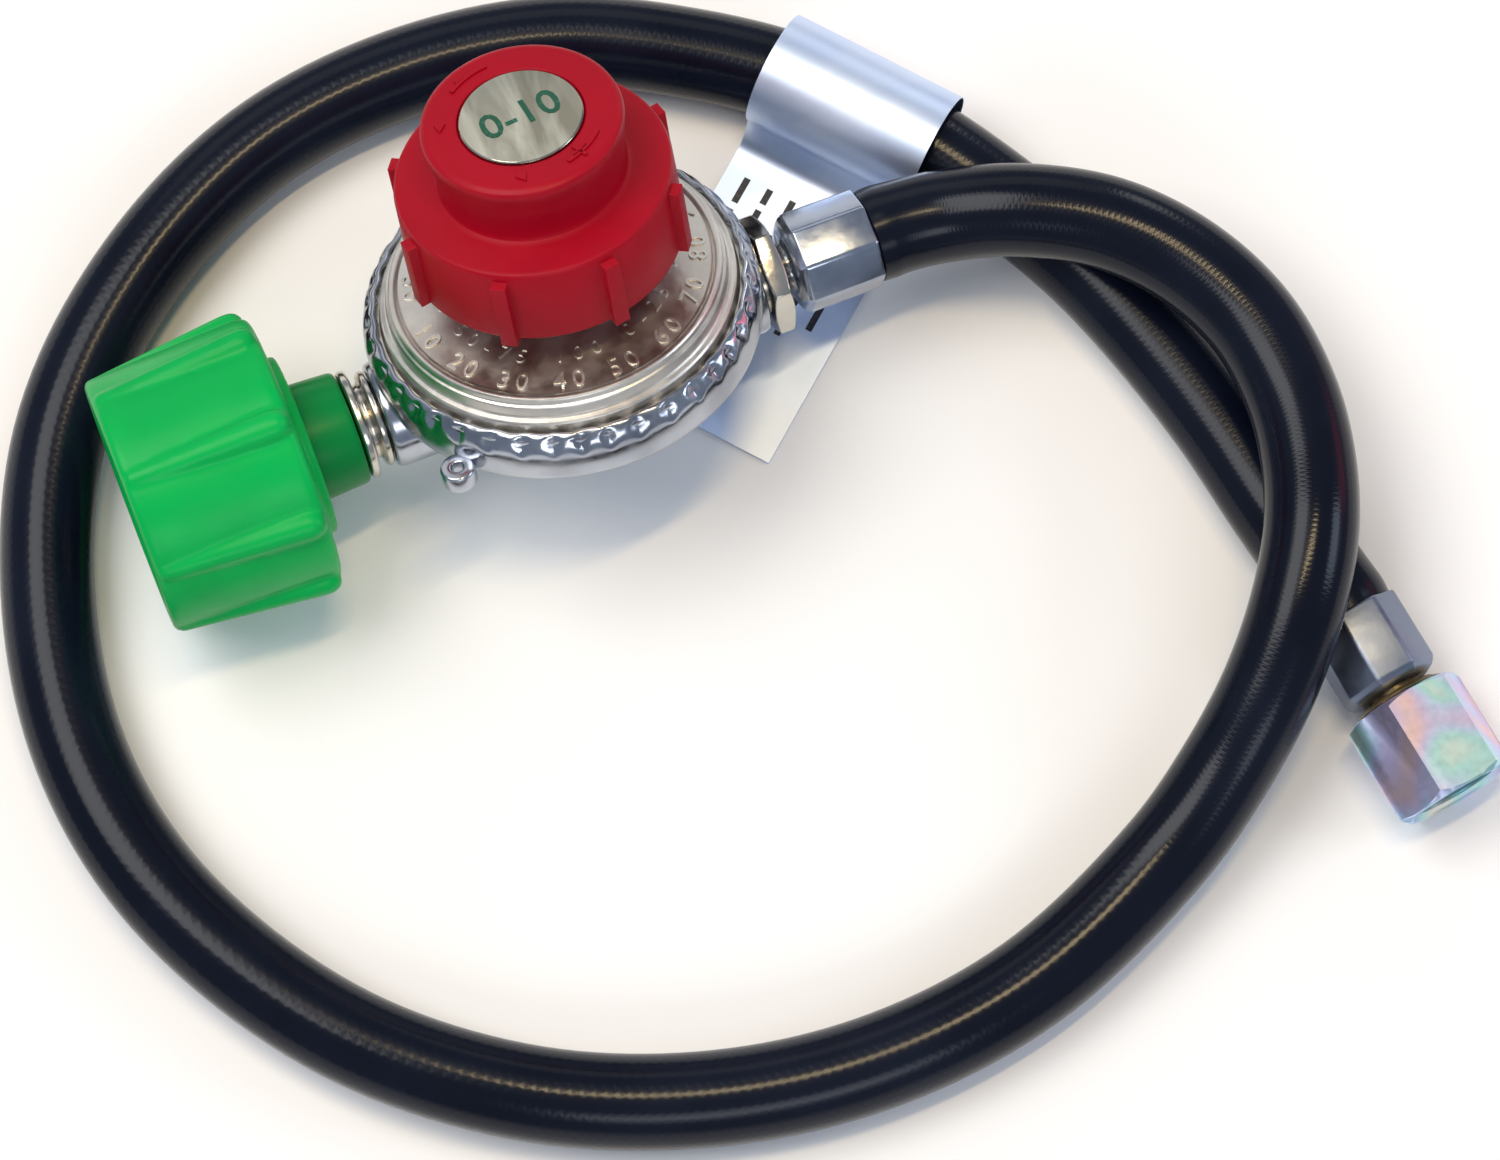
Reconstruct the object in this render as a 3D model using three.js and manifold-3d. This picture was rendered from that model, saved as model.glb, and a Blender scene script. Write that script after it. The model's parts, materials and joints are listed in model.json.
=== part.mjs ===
// Adjustable propane regulator with its coupling nut, hose, end fitting and foil tag.
// Millimetres, +Z up. The regulator is built upright about its own origin, where the
// inlet axis (local X) meets the body axis (local Z), and is then leant over as it lies.
import * as THREE from 'three';
import { mergeVertices } from 'three/addons/utils/BufferGeometryUtils.js';
import Module from 'manifold-3d';

const wasm = await Module();
wasm.setup();

// How the regulator lies: it stands on the coupling nut's ribs and on its own hose.
const axisHeight = 23.3;
const axisSlope = THREE.MathUtils.degToRad(2.5);
const bodyLean = THREE.MathUtils.degToRad(23);
const axisCrossing = new THREE.Vector3(12.52, -5.42, axisHeight);

// Driving sizes.
const gap = 0.3;
const hoseDiameter = 15.9;
const hoseBore = 8;
const knobTop = 56.3;
const knobBottom = 29.2;
const knobTravel = 7.5;
const skirtRadius = 22.7;
const skirtHeight = 14.7;
const rimRadius = 33.4;
const crimpHeight = 14.9;
const bonnetEdgeRadius = 27.4;
const bonnetEdgeHeight = 19.4;
const nutFront = -78.4;
const nutBack = -49.2;
const nutFrontRadius = 22.1;
const nutRibRadius = 25.4;
const acmeBoreRadius = 16.7;
const ferruleAcrossFlats = 16.4;
const ferruleLength = 15.3;
const outletFerruleStart = 38.6;
const swivelAcrossFlats = 19.05;
const swivelLength = 18.4;
const coneLength = 1.5;

const hoseRadius = hoseDiameter / 2;
const knobLedge = knobBottom + skirtHeight;

const finish = {
  redPlastic: [0xc1122f, 0.45, 0],
  mirrorFoil: [0xcfc9b4, 0.2, 0.9],
  greenPlastic: [0x00a94a, 0.35, 0],
  castZinc: [0xb9b4aa, 0.35, 0.9],
  chromedSteel: [0xc9ccd0, 0.2, 1],
  nickel: [0xbdb6a4, 0.3, 1],
  brass: [0xb08d4a, 0.35, 1],
  springSteel: [0x8f959b, 0.35, 1],
  yellowZinc: [0xcdbb8f, 0.3, 1],
  blackRubber: [0x15161a, 0.5, 0],
  nitrile: [0x23211f, 0.7, 0],
  silverFilm: [0xd5dae6, 0.3, 0.4],
};

const part = new THREE.Group();
const regulator = new THREE.Group();
regulator.position.copy(axisCrossing);
regulator.rotation.order = 'YXZ';
regulator.rotation.set(-bodyLean, axisSlope, 0);
part.add(regulator);

function addMesh(parent, name, geometry, [color, roughness, metalness]) {
  const material = new THREE.MeshStandardMaterial({ color, roughness, metalness });
  const mesh = new THREE.Mesh(geometry, material);
  mesh.name = name;
  parent.add(mesh);
  return mesh;
}

// Outline points are [radius, height] from the foot of the outside to its top, then inward.
function turned(outline, segments = 40) {
  const points = outline.map(([radius, height]) => new THREE.Vector2(radius, height));
  return new THREE.LatheGeometry(points, segments).rotateX(Math.PI / 2);
}

// The same outline turned about the local X axis, height running along +X.
function turnedAlongX(outline, segments = 40) {
  return turned(outline, segments).rotateY(Math.PI / 2);
}

function ring(innerRadius, outerRadius, low, high) {
  return [[innerRadius, low], [outerRadius, low], [outerRadius, high], [innerRadius, high], [innerRadius, low]];
}

function rod(radius, low, high) {
  return [[0, low], [radius, low], [radius, high], [0, high]];
}

function toSolid(geometry) {
  const bare = geometry.clone();
  bare.deleteAttribute('normal');
  bare.deleteAttribute('uv');
  const merged = mergeVertices(bare, 1e-4);
  const corners = merged.index.array;
  const kept = [];
  for (let i = 0; i < corners.length; i += 3) {
    const [a, b, c] = [corners[i], corners[i + 1], corners[i + 2]];
    if (a !== b && b !== c && c !== a) kept.push(a, b, c);
  }
  const vertProperties = new Float32Array(merged.attributes.position.array);
  const triVerts = new Uint32Array(kept);
  return new wasm.Manifold(new wasm.Mesh({ numProp: 3, vertProperties, triVerts }));
}

function toGeometry(solid) {
  const mesh = solid.getMesh();
  const geometry = new THREE.BufferGeometry();
  geometry.setAttribute('position', new THREE.BufferAttribute(new Float32Array(mesh.vertProperties), 3));
  geometry.setIndex(new THREE.BufferAttribute(new Uint32Array(mesh.triVerts), 1));
  geometry.computeVertexNormals();
  return geometry;
}

function joined(geometries) {
  return toGeometry(geometries.map(toSolid).reduce((sum, solid) => sum.add(solid)));
}

function cut(geometry, tools) {
  const body = toSolid(geometry);
  return toGeometry(tools.map(toSolid).reduce((rest, tool) => rest.subtract(tool), body));
}

function box(low, high) {
  const size = high.map((value, i) => value - low[i]);
  const centre = high.map((value, i) => (value + low[i]) / 2);
  return new THREE.BoxGeometry(...size).translate(...centre);
}

// Regular prism about +Z with one corner at `phase` radians from +X.
function prism(sides, acrossFlats, low, high, phase = 0) {
  const cornerRadius = acrossFlats / 2 / Math.cos(Math.PI / sides);
  const shape = new THREE.Shape();
  for (let i = 0; i < sides; i += 1) {
    const angle = phase + (2 * Math.PI * i) / sides;
    const method = i === 0 ? 'moveTo' : 'lineTo';
    shape[method](cornerRadius * Math.cos(angle), cornerRadius * Math.sin(angle));
  }
  shape.closePath();
  return new THREE.ExtrudeGeometry(shape, { depth: high - low, bevelEnabled: false }).translate(0, 0, low);
}

// Round wire spring about +Z with closed ends.
function coilSpring(meanRadius, wireRadius, low, high, turns) {
  const stepsPerTurn = 12;
  const wireSides = 6;
  const rise = high - low - 2 * wireRadius;
  const points = [];
  for (let i = 0; i <= turns * stepsPerTurn; i += 1) {
    const angle = (2 * Math.PI * i) / stepsPerTurn;
    const height = low + wireRadius + (rise * i) / (turns * stepsPerTurn);
    points.push(new THREE.Vector3(meanRadius * Math.cos(angle), meanRadius * Math.sin(angle), height));
  }
  const wire = new THREE.Shape();
  for (let i = 0; i < wireSides; i += 1) {
    const angle = (2 * Math.PI * i) / wireSides;
    const method = i === 0 ? 'moveTo' : 'lineTo';
    wire[method](wireRadius * Math.cos(angle), wireRadius * Math.sin(angle));
  }
  wire.closePath();
  const extrudePath = new THREE.CatmullRomCurve3(points);
  return new THREE.ExtrudeGeometry(wire, { steps: turns * stepsPerTurn, extrudePath });
}

// Knob: a two-step cap with eight grip ribs on the skirt and a seat for the dial disc.
function addKnob() {
  const ribCount = 8;
  const ribPhase = THREE.MathUtils.degToRad(-33.5);
  const ribWidth = 2.6;
  const ribReach = 24.3;
  const ribTop = knobLedge - 1.2;
  const cavityRadius = 20.2;
  const cavityTop = 41.6;
  const cap = turned([
    [0, cavityTop],
    [cavityRadius, cavityTop],
    [cavityRadius + 0.5, knobBottom],
    [skirtRadius + 0.2, knobBottom],
    [skirtRadius, knobLedge - 0.8],
    [skirtRadius - 0.8, knobLedge],
    [16.4, knobLedge],
    [15.2, knobLedge + 1.2],
    [16.4, knobTop - 1],
    [15.6, knobTop],
    [10.4, knobTop],
    [10.4, knobTop - 0.9],
    [0, knobTop - 0.9],
  ], 48);
  const ribs = [];
  for (let i = 0; i < ribCount; i += 1) {
    const rib = box([skirtRadius - 1.5, -ribWidth / 2, knobBottom - 0.6], [ribReach, ribWidth / 2, ribTop]);
    ribs.push(rib.rotateZ(ribPhase + (2 * Math.PI * i) / ribCount));
  }
  addMesh(regulator, 'knob', joined([cap, ...ribs]), finish.redPlastic);
  addMesh(regulator, 'knob_disc', turned(rod(10, knobTop - 0.6, knobTop + 0.4), 48), finish.mirrorFoil);
}

// Adjusting screw under the knob, the seat it pushes, and the main spring below.
const screwRadius = 9.5;
const screwBottom = 30.6;
const seatBottom = 27.8;
const plateTop = 12.1;
function addAdjuster() {
  const screwTop = 41.3;
  const screw = turned([
    [0, screwBottom],
    [screwRadius - 0.8, screwBottom],
    [screwRadius, screwBottom + 0.8],
    [screwRadius, screwTop],
    [0, screwTop],
  ]);
  addMesh(regulator, 'adjusting_screw', screw, finish.brass);
  const seat = turned([
    [0, seatBottom - 2.5],
    [4.8, seatBottom - 2.5],
    [5.2, seatBottom],
    [9.2, seatBottom],
    [9.2, seatBottom + 1.6],
    [2, screwBottom - gap],
    [0, screwBottom - gap],
  ]);
  addMesh(regulator, 'spring_seat', seat, finish.springSteel);
  const spring = coilSpring(7.2, 0.9, plateTop + gap, seatBottom - gap, 4);
  addMesh(regulator, 'main_spring', spring, finish.springSteel);
}

// Bonnet: die-cast cover with a stepped edge, a spring neck and one vent hole.
const flangeRadius = 31.8;
const flangeTop = 13.6;
function addBonnet() {
  const neckRadius = 13;
  const neckTop = 33;
  const neckBore = screwRadius + gap;
  const ventRadius = 1.6;
  const ventDistance = 19.5;
  const ventAngle = THREE.MathUtils.degToRad(80);
  const shell = turned([
    [29.2, 11.3],
    [flangeRadius, 11.3],
    [flangeRadius, flangeTop],
    [29.9, flangeTop],
    [29.7, 15.8],
    [28.4, 16.4],
    [28, 18.6],
    [bonnetEdgeRadius, bonnetEdgeHeight],
    [26.4, bonnetEdgeHeight],
    [25.8, bonnetEdgeHeight - 0.4],
    [neckRadius + 1.5, 21],
    [neckRadius, 22.5],
    [neckRadius, neckTop],
    [neckBore, neckTop],
    [neckBore, 21],
    [12.5, 18.6],
    [25, 17],
    [27.5, 14],
    [29.2, 11.3],
  ], 40);
  const vent = turned(rod(ventRadius, 15, 23), 16);
  vent.translate(ventDistance * Math.cos(ventAngle), ventDistance * Math.sin(ventAngle), 0);
  addMesh(regulator, 'bonnet', cut(shell, [vent]), finish.castZinc);
  const screen = turned(rod(ventRadius - 0.1, 18.6, 19.2), 16);
  screen.translate(ventDistance * Math.cos(ventAngle), ventDistance * Math.sin(ventAngle), 0);
  addMesh(regulator, 'vent_screen', screen, finish.springSteel);
}

// Lower body: bowl with a rolled, scalloped rim, inlet and outlet bosses, valve guide,
// lever lugs and a lug with a small hole for a lead seal.
const inletFace = -34.2;
const outletFace = 33;
const chamberFloor = -8.5;
const pinX = -11.5;
const pinZ = -4;
const pinRadius = 1;
function addLowerBody() {
  const bossRadius = 9;
  const lugAngle = THREE.MathUtils.degToRad(-139);
  const lugDistance = 35.6;
  const bowl = turned([
    [0, -13],
    [17, -13],
    [19, -11.5],
    [25.5, 0],
    [31, 4.4],
    [32.8, 5.6],
    [rimRadius, 7.4],
    [rimRadius, 12.6],
    [32.6, 14.4],
    [31.6, crimpHeight],
    [30.9, crimpHeight],
    [30.9, flangeTop + gap],
    [flangeRadius + gap, flangeTop + gap],
    [flangeRadius + gap, 9.6],
    [28.6, 9.6],
    [28.2, 3.6],
    [23.2, -1],
    [18.4, chamberFloor],
    [0, chamberFloor],
  ], 48);
  const inletBoss = turnedAlongX([[0, inletFace], [bossRadius - 0.8, inletFace], [bossRadius, inletFace + 0.8],
    [bossRadius, -20], [7, -18.5], [4.6, -18.5], [4.6, -14.6], [0, -14.6]], 32);
  const outletBoss = turnedAlongX([[0, 21], [bossRadius, 21], [bossRadius, outletFace - 0.8],
    [bossRadius - 0.8, outletFace], [0, outletFace]], 32);
  const guideFoot = box([-18.4, -2, chamberFloor - 1], [-14.8, 2, -3]);
  const lugs = [-1, 1].map((side) => {
    const y = side * 5;
    return box([pinX - 2, y - 1, chamberFloor - 1], [pinX + 2, y + 1, pinZ + 2.2]);
  });
  const sealLug = turned(rod(2.9, 5.2, 8.8), 20).translate(
    lugDistance * Math.cos(lugAngle), lugDistance * Math.sin(lugAngle), 0);
  const lugHole = turned(rod(1, 4, 10), 12).translate(
    lugDistance * Math.cos(lugAngle), lugDistance * Math.sin(lugAngle), 0);
  const inletBore = turnedAlongX([[0, inletFace - 1], [6.8, inletFace - 1], [6.8, -26], [3.4, -26],
    [3.4, -19.6], [2.6, -19.6], [2.6, -14], [0, -14]], 24);
  const guideWindow = box([-19.2, -1.5, 0], [-17.4, 1.5, 6]);
  const outletBore = turnedAlongX([[0, 17], [3.6, 17], [3.6, 22], [6.8, 22], [6.8, outletFace + 1],
    [0, outletFace + 1]], 24);
  const pinHole = turned(rod(pinRadius + 0.2, -8, 8), 16).rotateX(Math.PI / 2).translate(pinX, 0, pinZ);
  const whole = joined([bowl, inletBoss, outletBoss, guideFoot, ...lugs, sealLug]);
  const cutters = [inletBore, guideWindow, outletBore, lugHole, pinHole, ...crimpScallops()];
  addMesh(regulator, 'lower_body', cut(whole, cutters), finish.chromedSteel);
}

// Notches that a crimping die leaves all round the folded lip.
function crimpScallops() {
  const scallopCount = 40;
  const notchRadius = 1.3;
  const notches = [];
  for (let i = 0; i < scallopCount; i += 1) {
    const notch = turned(rod(notchRadius, crimpHeight - 0.45, crimpHeight + 1), 4).translate(31.1, 0, 0);
    notches.push(notch.rotateZ((2 * Math.PI * i) / scallopCount));
  }
  return notches;
}

// Diaphragm with its two clamping plates and the stem that lifts the lever.
function addDiaphragm() {
  const membraneLow = 9.9;
  const membrane = turned([
    [4.3, membraneLow],
    [20, membraneLow],
    [21.5, membraneLow + 1.6],
    [24.5, membraneLow + 1.6],
    [26, membraneLow],
    [31.6, membraneLow],
    [31.6, membraneLow + 0.8],
    [26.4, membraneLow + 0.8],
    [24.9, membraneLow + 2.4],
    [21.1, membraneLow + 2.4],
    [19.6, membraneLow + 0.8],
    [4.3, membraneLow + 0.8],
    [4.3, membraneLow],
  ]);
  addMesh(regulator, 'diaphragm', membrane, finish.nitrile);
  const plate = turned(ring(4.3, 12, membraneLow + 1.1, plateTop));
  addMesh(regulator, 'diaphragm_plate', plate, finish.springSteel);
  const stem = turned([
    [0, -6.6],
    [2.6, -6.6],
    [2.6, 8.4],
    [10, 8.4],
    [10, membraneLow - gap],
    [4, membraneLow - gap],
    [4, plateTop + 1.2],
    [0, plateTop + 1.2],
  ]);
  const slot = box([-4, -1.8, -5.2], [4, 1.8, -2.8]);
  addMesh(regulator, 'diaphragm_stem', cut(stem, [slot]), finish.brass);
}

// Orifice, valve plug with its rubber seat, bell-crank lever and the pin it turns on.
function addValve() {
  const orificeFace = -22;
  const orifice = turnedAlongX([[0.8, -25.6], [3.1, -25.6], [3.1, -23], [1.8, orificeFace], [0.8, orificeFace],
    [0.8, -25.6]], 24);
  addMesh(regulator, 'orifice', orifice, finish.brass);
  const seat = turnedAlongX(rod(2.2, orificeFace + 0.4, -20), 24);
  addMesh(regulator, 'valve_seat', seat, finish.nitrile);
  const plug = turnedAlongX([[0, -19.7], [2.2, -19.7], [2.2, -15], [1.4, -14.2], [1.4, -13.2], [0, -13.2]], 24);
  addMesh(regulator, 'valve_plug', plug, finish.brass);
  const shortArm = box([-12.9, -1.4, pinZ - 1.5], [-11.2, 1.4, 1.6]);
  const longArm = box([-12.9, -1.4, pinZ - 0.8], [1.2, 1.4, pinZ + 0.8]);
  const hub = turned(rod(2, -1.4, 1.4), 20).rotateX(Math.PI / 2).translate(pinX, 0, pinZ);
  const hole = turned(rod(pinRadius + 0.1, -3, 3), 16).rotateX(Math.PI / 2).translate(pinX, 0, pinZ);
  addMesh(regulator, 'lever', cut(joined([shortArm, longArm, hub]), [hole]), finish.springSteel);
  const pin = turned(rod(pinRadius, -6.4, 6.4), 16).rotateX(Math.PI / 2).translate(pinX, 0, pinZ);
  addMesh(regulator, 'lever_pin', pin, finish.springSteel);
}

// Inlet nipple with its nose seal and the excess-flow valve inside.
const nippleNose = -70;
function addInletNipple() {
  const nipple = turnedAlongX([
    [3.4, nippleNose],
    [5, nippleNose],
    [5.8, nippleNose + 2],
    [5.8, nippleNose + 4],
    [4.6, nippleNose + 4.3],
    [4.6, nippleNose + 6.7],
    [6.2, nippleNose + 7],
    [6.2, -39.2],
    [9.4, -38.9],
    [9.4, -37.3],
    [6.4, -36.9],
    [6.4, -36.3],
    [7.8, -36],
    [7.8, inletFace - gap],
    [6.4, inletFace - gap],
    [6.4, -26.4],
    [3.4, -26.4],
    [3.4, nippleNose],
  ], 36);
  addMesh(regulator, 'inlet_nipple', nipple, finish.nickel);
  const seal = new THREE.TorusGeometry(5.9, 0.9, 6, 24).rotateY(Math.PI / 2).translate(nippleNose + 5.5, 0, 0);
  addMesh(regulator, 'nose_seal', seal, finish.nitrile);
}

function addFlowValve() {
  const retainer = turnedAlongX(ring(1.2, 3.2, nippleNose + 1, nippleNose + 3), 20);
  addMesh(regulator, 'flow_retainer', retainer, finish.brass);
  const poppet = turnedAlongX([[0, -64.6], [1, -64.6], [2.6, -62.6], [2.6, -60.6], [0.9, -60.6], [0.9, -57.4],
    [0, -57.4]], 20);
  addMesh(regulator, 'flow_poppet', poppet, finish.brass);
  const spring = coilSpring(2.1, 0.3, -60.3, -53, 5).rotateY(Math.PI / 2);
  addMesh(regulator, 'flow_spring', spring, finish.springSteel);
  const stop = turnedAlongX(ring(1.3, 3.2, -52.7, -51.5), 20);
  addMesh(regulator, 'flow_stop', stop, finish.brass);
}

// Thermal bushing: the collar that the coupling nut turns and slides on.
function addBushing() {
  const bushing = turnedAlongX([
    [6.6, -56],
    [15, -56],
    [15, -52],
    [10.1, -52],
    [10.1, -46],
    [9.6, -39.2],
    [6.6, -39.2],
    [6.6, -56],
  ], 40);
  addMesh(regulator, 'thermal_bushing', bushing, finish.greenPlastic);
}

// Coupling nut: a hand wheel with eight ribs that grow towards its back.
function addCouplingNut() {
  const ribCount = 8;
  const ribPhase = THREE.MathUtils.degToRad(29.4);
  const backRadius = 23.3;
  const backBossRadius = 15.5;
  const boreFloor = -51.7;
  const wheel = turnedAlongX([
    [acmeBoreRadius, nutFront + 0.8],
    [acmeBoreRadius + 0.8, nutFront],
    [nutFrontRadius - 0.8, nutFront],
    [nutFrontRadius, nutFront + 0.8],
    [backRadius, nutBack - 1.5],
    [backRadius - 1.5, nutBack],
    [backBossRadius, nutBack],
    [backBossRadius, nutBack + 1.9],
    [10.5, nutBack + 1.9],
    [10.5, boreFloor],
    [acmeBoreRadius, boreFloor],
    [acmeBoreRadius, nutFront + 0.8],
  ], 48);
  const ribs = [];
  for (let i = 0; i < ribCount; i += 1) {
    ribs.push(nutRib(backRadius).rotateX(ribPhase + (2 * Math.PI * i) / ribCount));
  }
  addMesh(regulator, 'coupling_nut', joined([wheel, ...ribs]), finish.greenPlastic);
}

// One grip rib along +X: flush with the front rim, standing proud at the back.
function nutRib(backRadius) {
  const root = nutFrontRadius - 1.5;
  const side = new THREE.Shape();
  side.moveTo(nutFront + 3, root);
  side.lineTo(nutBack - 0.6, root);
  side.lineTo(nutBack - 0.6, backRadius + 0.4);
  side.lineTo(nutBack - 1.6, nutRibRadius);
  side.lineTo(nutFront + 3, nutFrontRadius + 0.3);
  side.closePath();
  const width = 5;
  const rib = new THREE.ExtrudeGeometry(side, { depth: width, bevelEnabled: false });
  return rib.translate(0, 0, -width / 2).rotateX(Math.PI / 2);
}

// Hexagon barb fitting screwed into the outlet boss.
function addOutletNipple() {
  const hexPhase = THREE.MathUtils.degToRad(-55);
  const hexAcrossFlats = 18;
  const hexStart = rimRadius + gap;
  const hex = prism(6, hexAcrossFlats, hexStart, 37.3, hexPhase);
  const shank = turned([[0, 22.6], [6.4, 22.6], [6.4, 37], [4.3, 38.3], [4.3, 40.2],
    [3.7, 40.4], [3.7, 52.6], [3, 53.4], [0, 53.4]], 32);
  const bore = turned(rod(2.4, 22, 54), 20);
  const fitting = cut(joined([hex, shank]), [bore]).rotateY(Math.PI / 2);
  addMesh(regulator, 'outlet_nipple', fitting, finish.nickel);
}

// Crimped ferrule with eight flats, its round shoulder at height 0 and mouth at the top.
function ferrule(phase) {
  const wallBore = hoseRadius - 0.65;
  const shoulder = 2;
  const flats = prism(8, ferruleAcrossFlats, shoulder, ferruleLength, phase);
  const neck = turned([[0, 0], [5.8, 0], [7.2, 0.6], [8, shoulder], [8, shoulder + 1], [0, shoulder + 1]], 32);
  const bore = turned([[0, -1], [4.6, -1], [4.6, 1.4], [wallBore, 1.4], [wallBore, ferruleLength + 1],
    [0, ferruleLength + 1]], 24);
  return cut(joined([flats, neck]), [bore]);
}

// Frame of the far end: +Z runs from the hose into the fitting, lying flat on the table.
const endMouth = new THREE.Vector3(105.2, -89.2, 10.05);
const endHeading = THREE.MathUtils.degToRad(-82.7);
const endFrame = new THREE.Group();
endFrame.position.copy(endMouth).add(new THREE.Vector3(axisCrossing.x, axisCrossing.y, 0));
endFrame.rotation.order = 'ZYX';
endFrame.rotation.set(0, Math.PI / 2, endHeading);
part.add(endFrame);

function addFerrules() {
  const edgePhase = THREE.MathUtils.degToRad(-85);
  const outlet = ferrule(edgePhase).translate(0, 0, outletFerruleStart).rotateY(Math.PI / 2);
  addMesh(regulator, 'outlet_ferrule', outlet, finish.nickel);
  const far = ferrule(0).rotateX(Math.PI).translate(0, 0, ferruleLength);
  addMesh(endFrame, 'end_ferrule', far, finish.nickel);
}

// Far fitting: a barbed stem with a flare nose, and the hexagon swivel nut on it.
function addEndFitting() {
  const coneEnd = ferruleLength + coneLength;
  const nutEnd = coneEnd + swivelLength;
  const stem = turned([
    [2.4, 1.6],
    [3, 1.6],
    [3.7, 2.4],
    [3.7, ferruleLength - 1.7],
    [4.3, ferruleLength - 1.6],
    [4.3, ferruleLength + gap],
    [6.6, ferruleLength + gap],
    [8.2, coneEnd - gap],
    [6, coneEnd - gap],
    [6, coneEnd + 4.4],
    [7.3, coneEnd + 4.6],
    [7.3, coneEnd + 6],
    [3.6, coneEnd + 10],
    [2.4, coneEnd + 10],
    [2.4, 1.6],
  ], 28);
  addMesh(endFrame, 'end_stem', stem, finish.brass);
  const hex = toSolid(prism(6, swivelAcrossFlats, coneEnd, nutEnd, THREE.MathUtils.degToRad(25)));
  const chamfer = toSolid(turned([[0, coneEnd], [9.4, coneEnd], [11.2, coneEnd + 1.1], [11.2, nutEnd - 1.1],
    [9.4, nutEnd], [0, nutEnd]], 36));
  const bore = toSolid(turned([[0, coneEnd - 1], [6.3, coneEnd - 1], [6.3, coneEnd + 4.2],
    [7.8, coneEnd + 4.2], [7.8, nutEnd - 0.8], [8.6, nutEnd + 1], [0, nutEnd + 1]], 32));
  const nut = toGeometry(hex.intersect(chamfer).subtract(bore));
  addMesh(endFrame, 'swivel_nut', nut, finish.yellowZinc);
}

// Hose: out of the outlet ferrule, over its own far end, once round the table and back
// under itself to the end ferrule. Points are measured from below the axis crossing.
const hoseRoute = [
  [67, -1.2, 20.9],
  [79, -5.8, 23.6],
  [92.2, -14.2, 24.8],
  [102, -25.8, 24.6],
  [107.6, -39.1, 24.4],
  [108.6, -53, 24.5],
  [106.4, -65, 25.3],
  [101.9, -76.2, 26],
  [95.2, -86.6, 24.6],
  [86, -97, 20],
  [74.4, -106.4, 13.8],
  [60.5, -115, 9.6],
  [31.5, -126.4, 8],
  [2.3, -129.1, 8],
  [-26.3, -124, 8],
  [-53.5, -111.5, 8],
  [-77.9, -90.2, 8],
  [-95.7, -59.6, 8],
  [-100.9, -31.5, 8],
  [-96.5, -2.5, 8],
  [-84, 24.5, 8],
  [-62.1, 45.6, 8],
  [-35.8, 58.8, 8],
  [-8.3, 62.2, 8.2],
  [18.5, 57.8, 8.7],
  [41.4, 45.6, 9.3],
  [59, 31.5, 9.6],
  [71, 16.5, 9.2],
  [81.4, 0, 8],
  [88.6, -14.7, 8],
  [94.2, -31, 8],
  [98.7, -48.9, 8],
  [101.6, -66.5, 8.3],
];
function addHose() {
  const start = outletFerruleStart + 2.2;
  const crimpedLength = ferruleLength - 2.2 + gap;
  const along = (distance) => regulator.localToWorld(new THREE.Vector3(distance, 0, 0));
  const intoEnd = (distance) => endFrame.localToWorld(new THREE.Vector3(0, 0, distance));
  part.updateMatrixWorld(true);
  const points = [along(start), along(start + 6), along(start + crimpedLength), along(start + crimpedLength + 4)];
  hoseRoute.forEach(([x, y, z]) => points.push(new THREE.Vector3(axisCrossing.x + x, axisCrossing.y + y, z)));
  points.push(intoEnd(-4), intoEnd(0), intoEnd(6), intoEnd(crimpedLength - gap));
  const section = new THREE.Shape().absarc(0, 0, hoseRadius, 0, 2 * Math.PI);
  section.holes.push(new THREE.Path().absarc(0, 0, hoseBore / 2, 0, 2 * Math.PI, true));
  const extrudePath = new THREE.CatmullRomCurve3(points);
  const tube = new THREE.ExtrudeGeometry(section, { steps: 64, curveSegments: 6, extrudePath });
  const crimp = () => turned(ring(hoseRadius - 1, hoseRadius + 3, -2, crimpedLength), 24);
  const outletCrimp = crimp().rotateY(Math.PI / 2).translate(start, 0, 0).applyMatrix4(regulator.matrixWorld);
  const endCrimp = crimp().rotateX(Math.PI).translate(0, 0, crimpedLength - gap);
  endCrimp.applyMatrix4(endFrame.matrixWorld);
  addMesh(part, 'hose', cut(tube, [outletCrimp, endCrimp]), finish.blackRubber);
}

// Foil tag: one strip folded round the hose, its two halves stuck together past the fold.
function addFoilTag() {
  const width = 32;
  const loopRadius = 10.2;
  const thickness = 0.35;
  const length = 71;
  const heading = THREE.MathUtils.degToRad(-140.4);
  const leafTop = 0.9;
  const outline = new THREE.Shape();
  outline.moveTo(length - loopRadius, 0.2);
  outline.lineTo(length - loopRadius, leafTop);
  outline.lineTo(13, leafTop);
  outline.lineTo(9, 4.5);
  outline.absarc(0, loopRadius + 0.2, loopRadius, -0.45, 1.5 * Math.PI, false);
  outline.closePath();
  const inside = new THREE.Path();
  inside.moveTo(9.5, 0.2 + thickness);
  inside.lineTo(8, 3.8);
  inside.absarc(0, loopRadius + 0.2, loopRadius - thickness, -0.5, 1.5 * Math.PI, false);
  inside.closePath();
  outline.holes.push(inside);
  const tag = new THREE.ExtrudeGeometry(outline, { depth: width, curveSegments: 14, bevelEnabled: false });
  tag.translate(0, 0, -width / 2).rotateX(Math.PI / 2).rotateZ(heading);
  tag.translate(axisCrossing.x + 62.5, axisCrossing.y + 25.9, 0);
  addMesh(part, 'foil_tag', tag, finish.silverFilm);
}

addKnob();
addAdjuster();
addBonnet();
addLowerBody();
addDiaphragm();
addValve();
addInletNipple();
addFlowValve();
addBushing();
addCouplingNut();
addOutletNipple();
addFerrules();
addEndFitting();
addHose();
addFoilTag();

export default part;
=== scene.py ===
import json
import math

import bpy
from mathutils import Matrix, Vector


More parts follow.
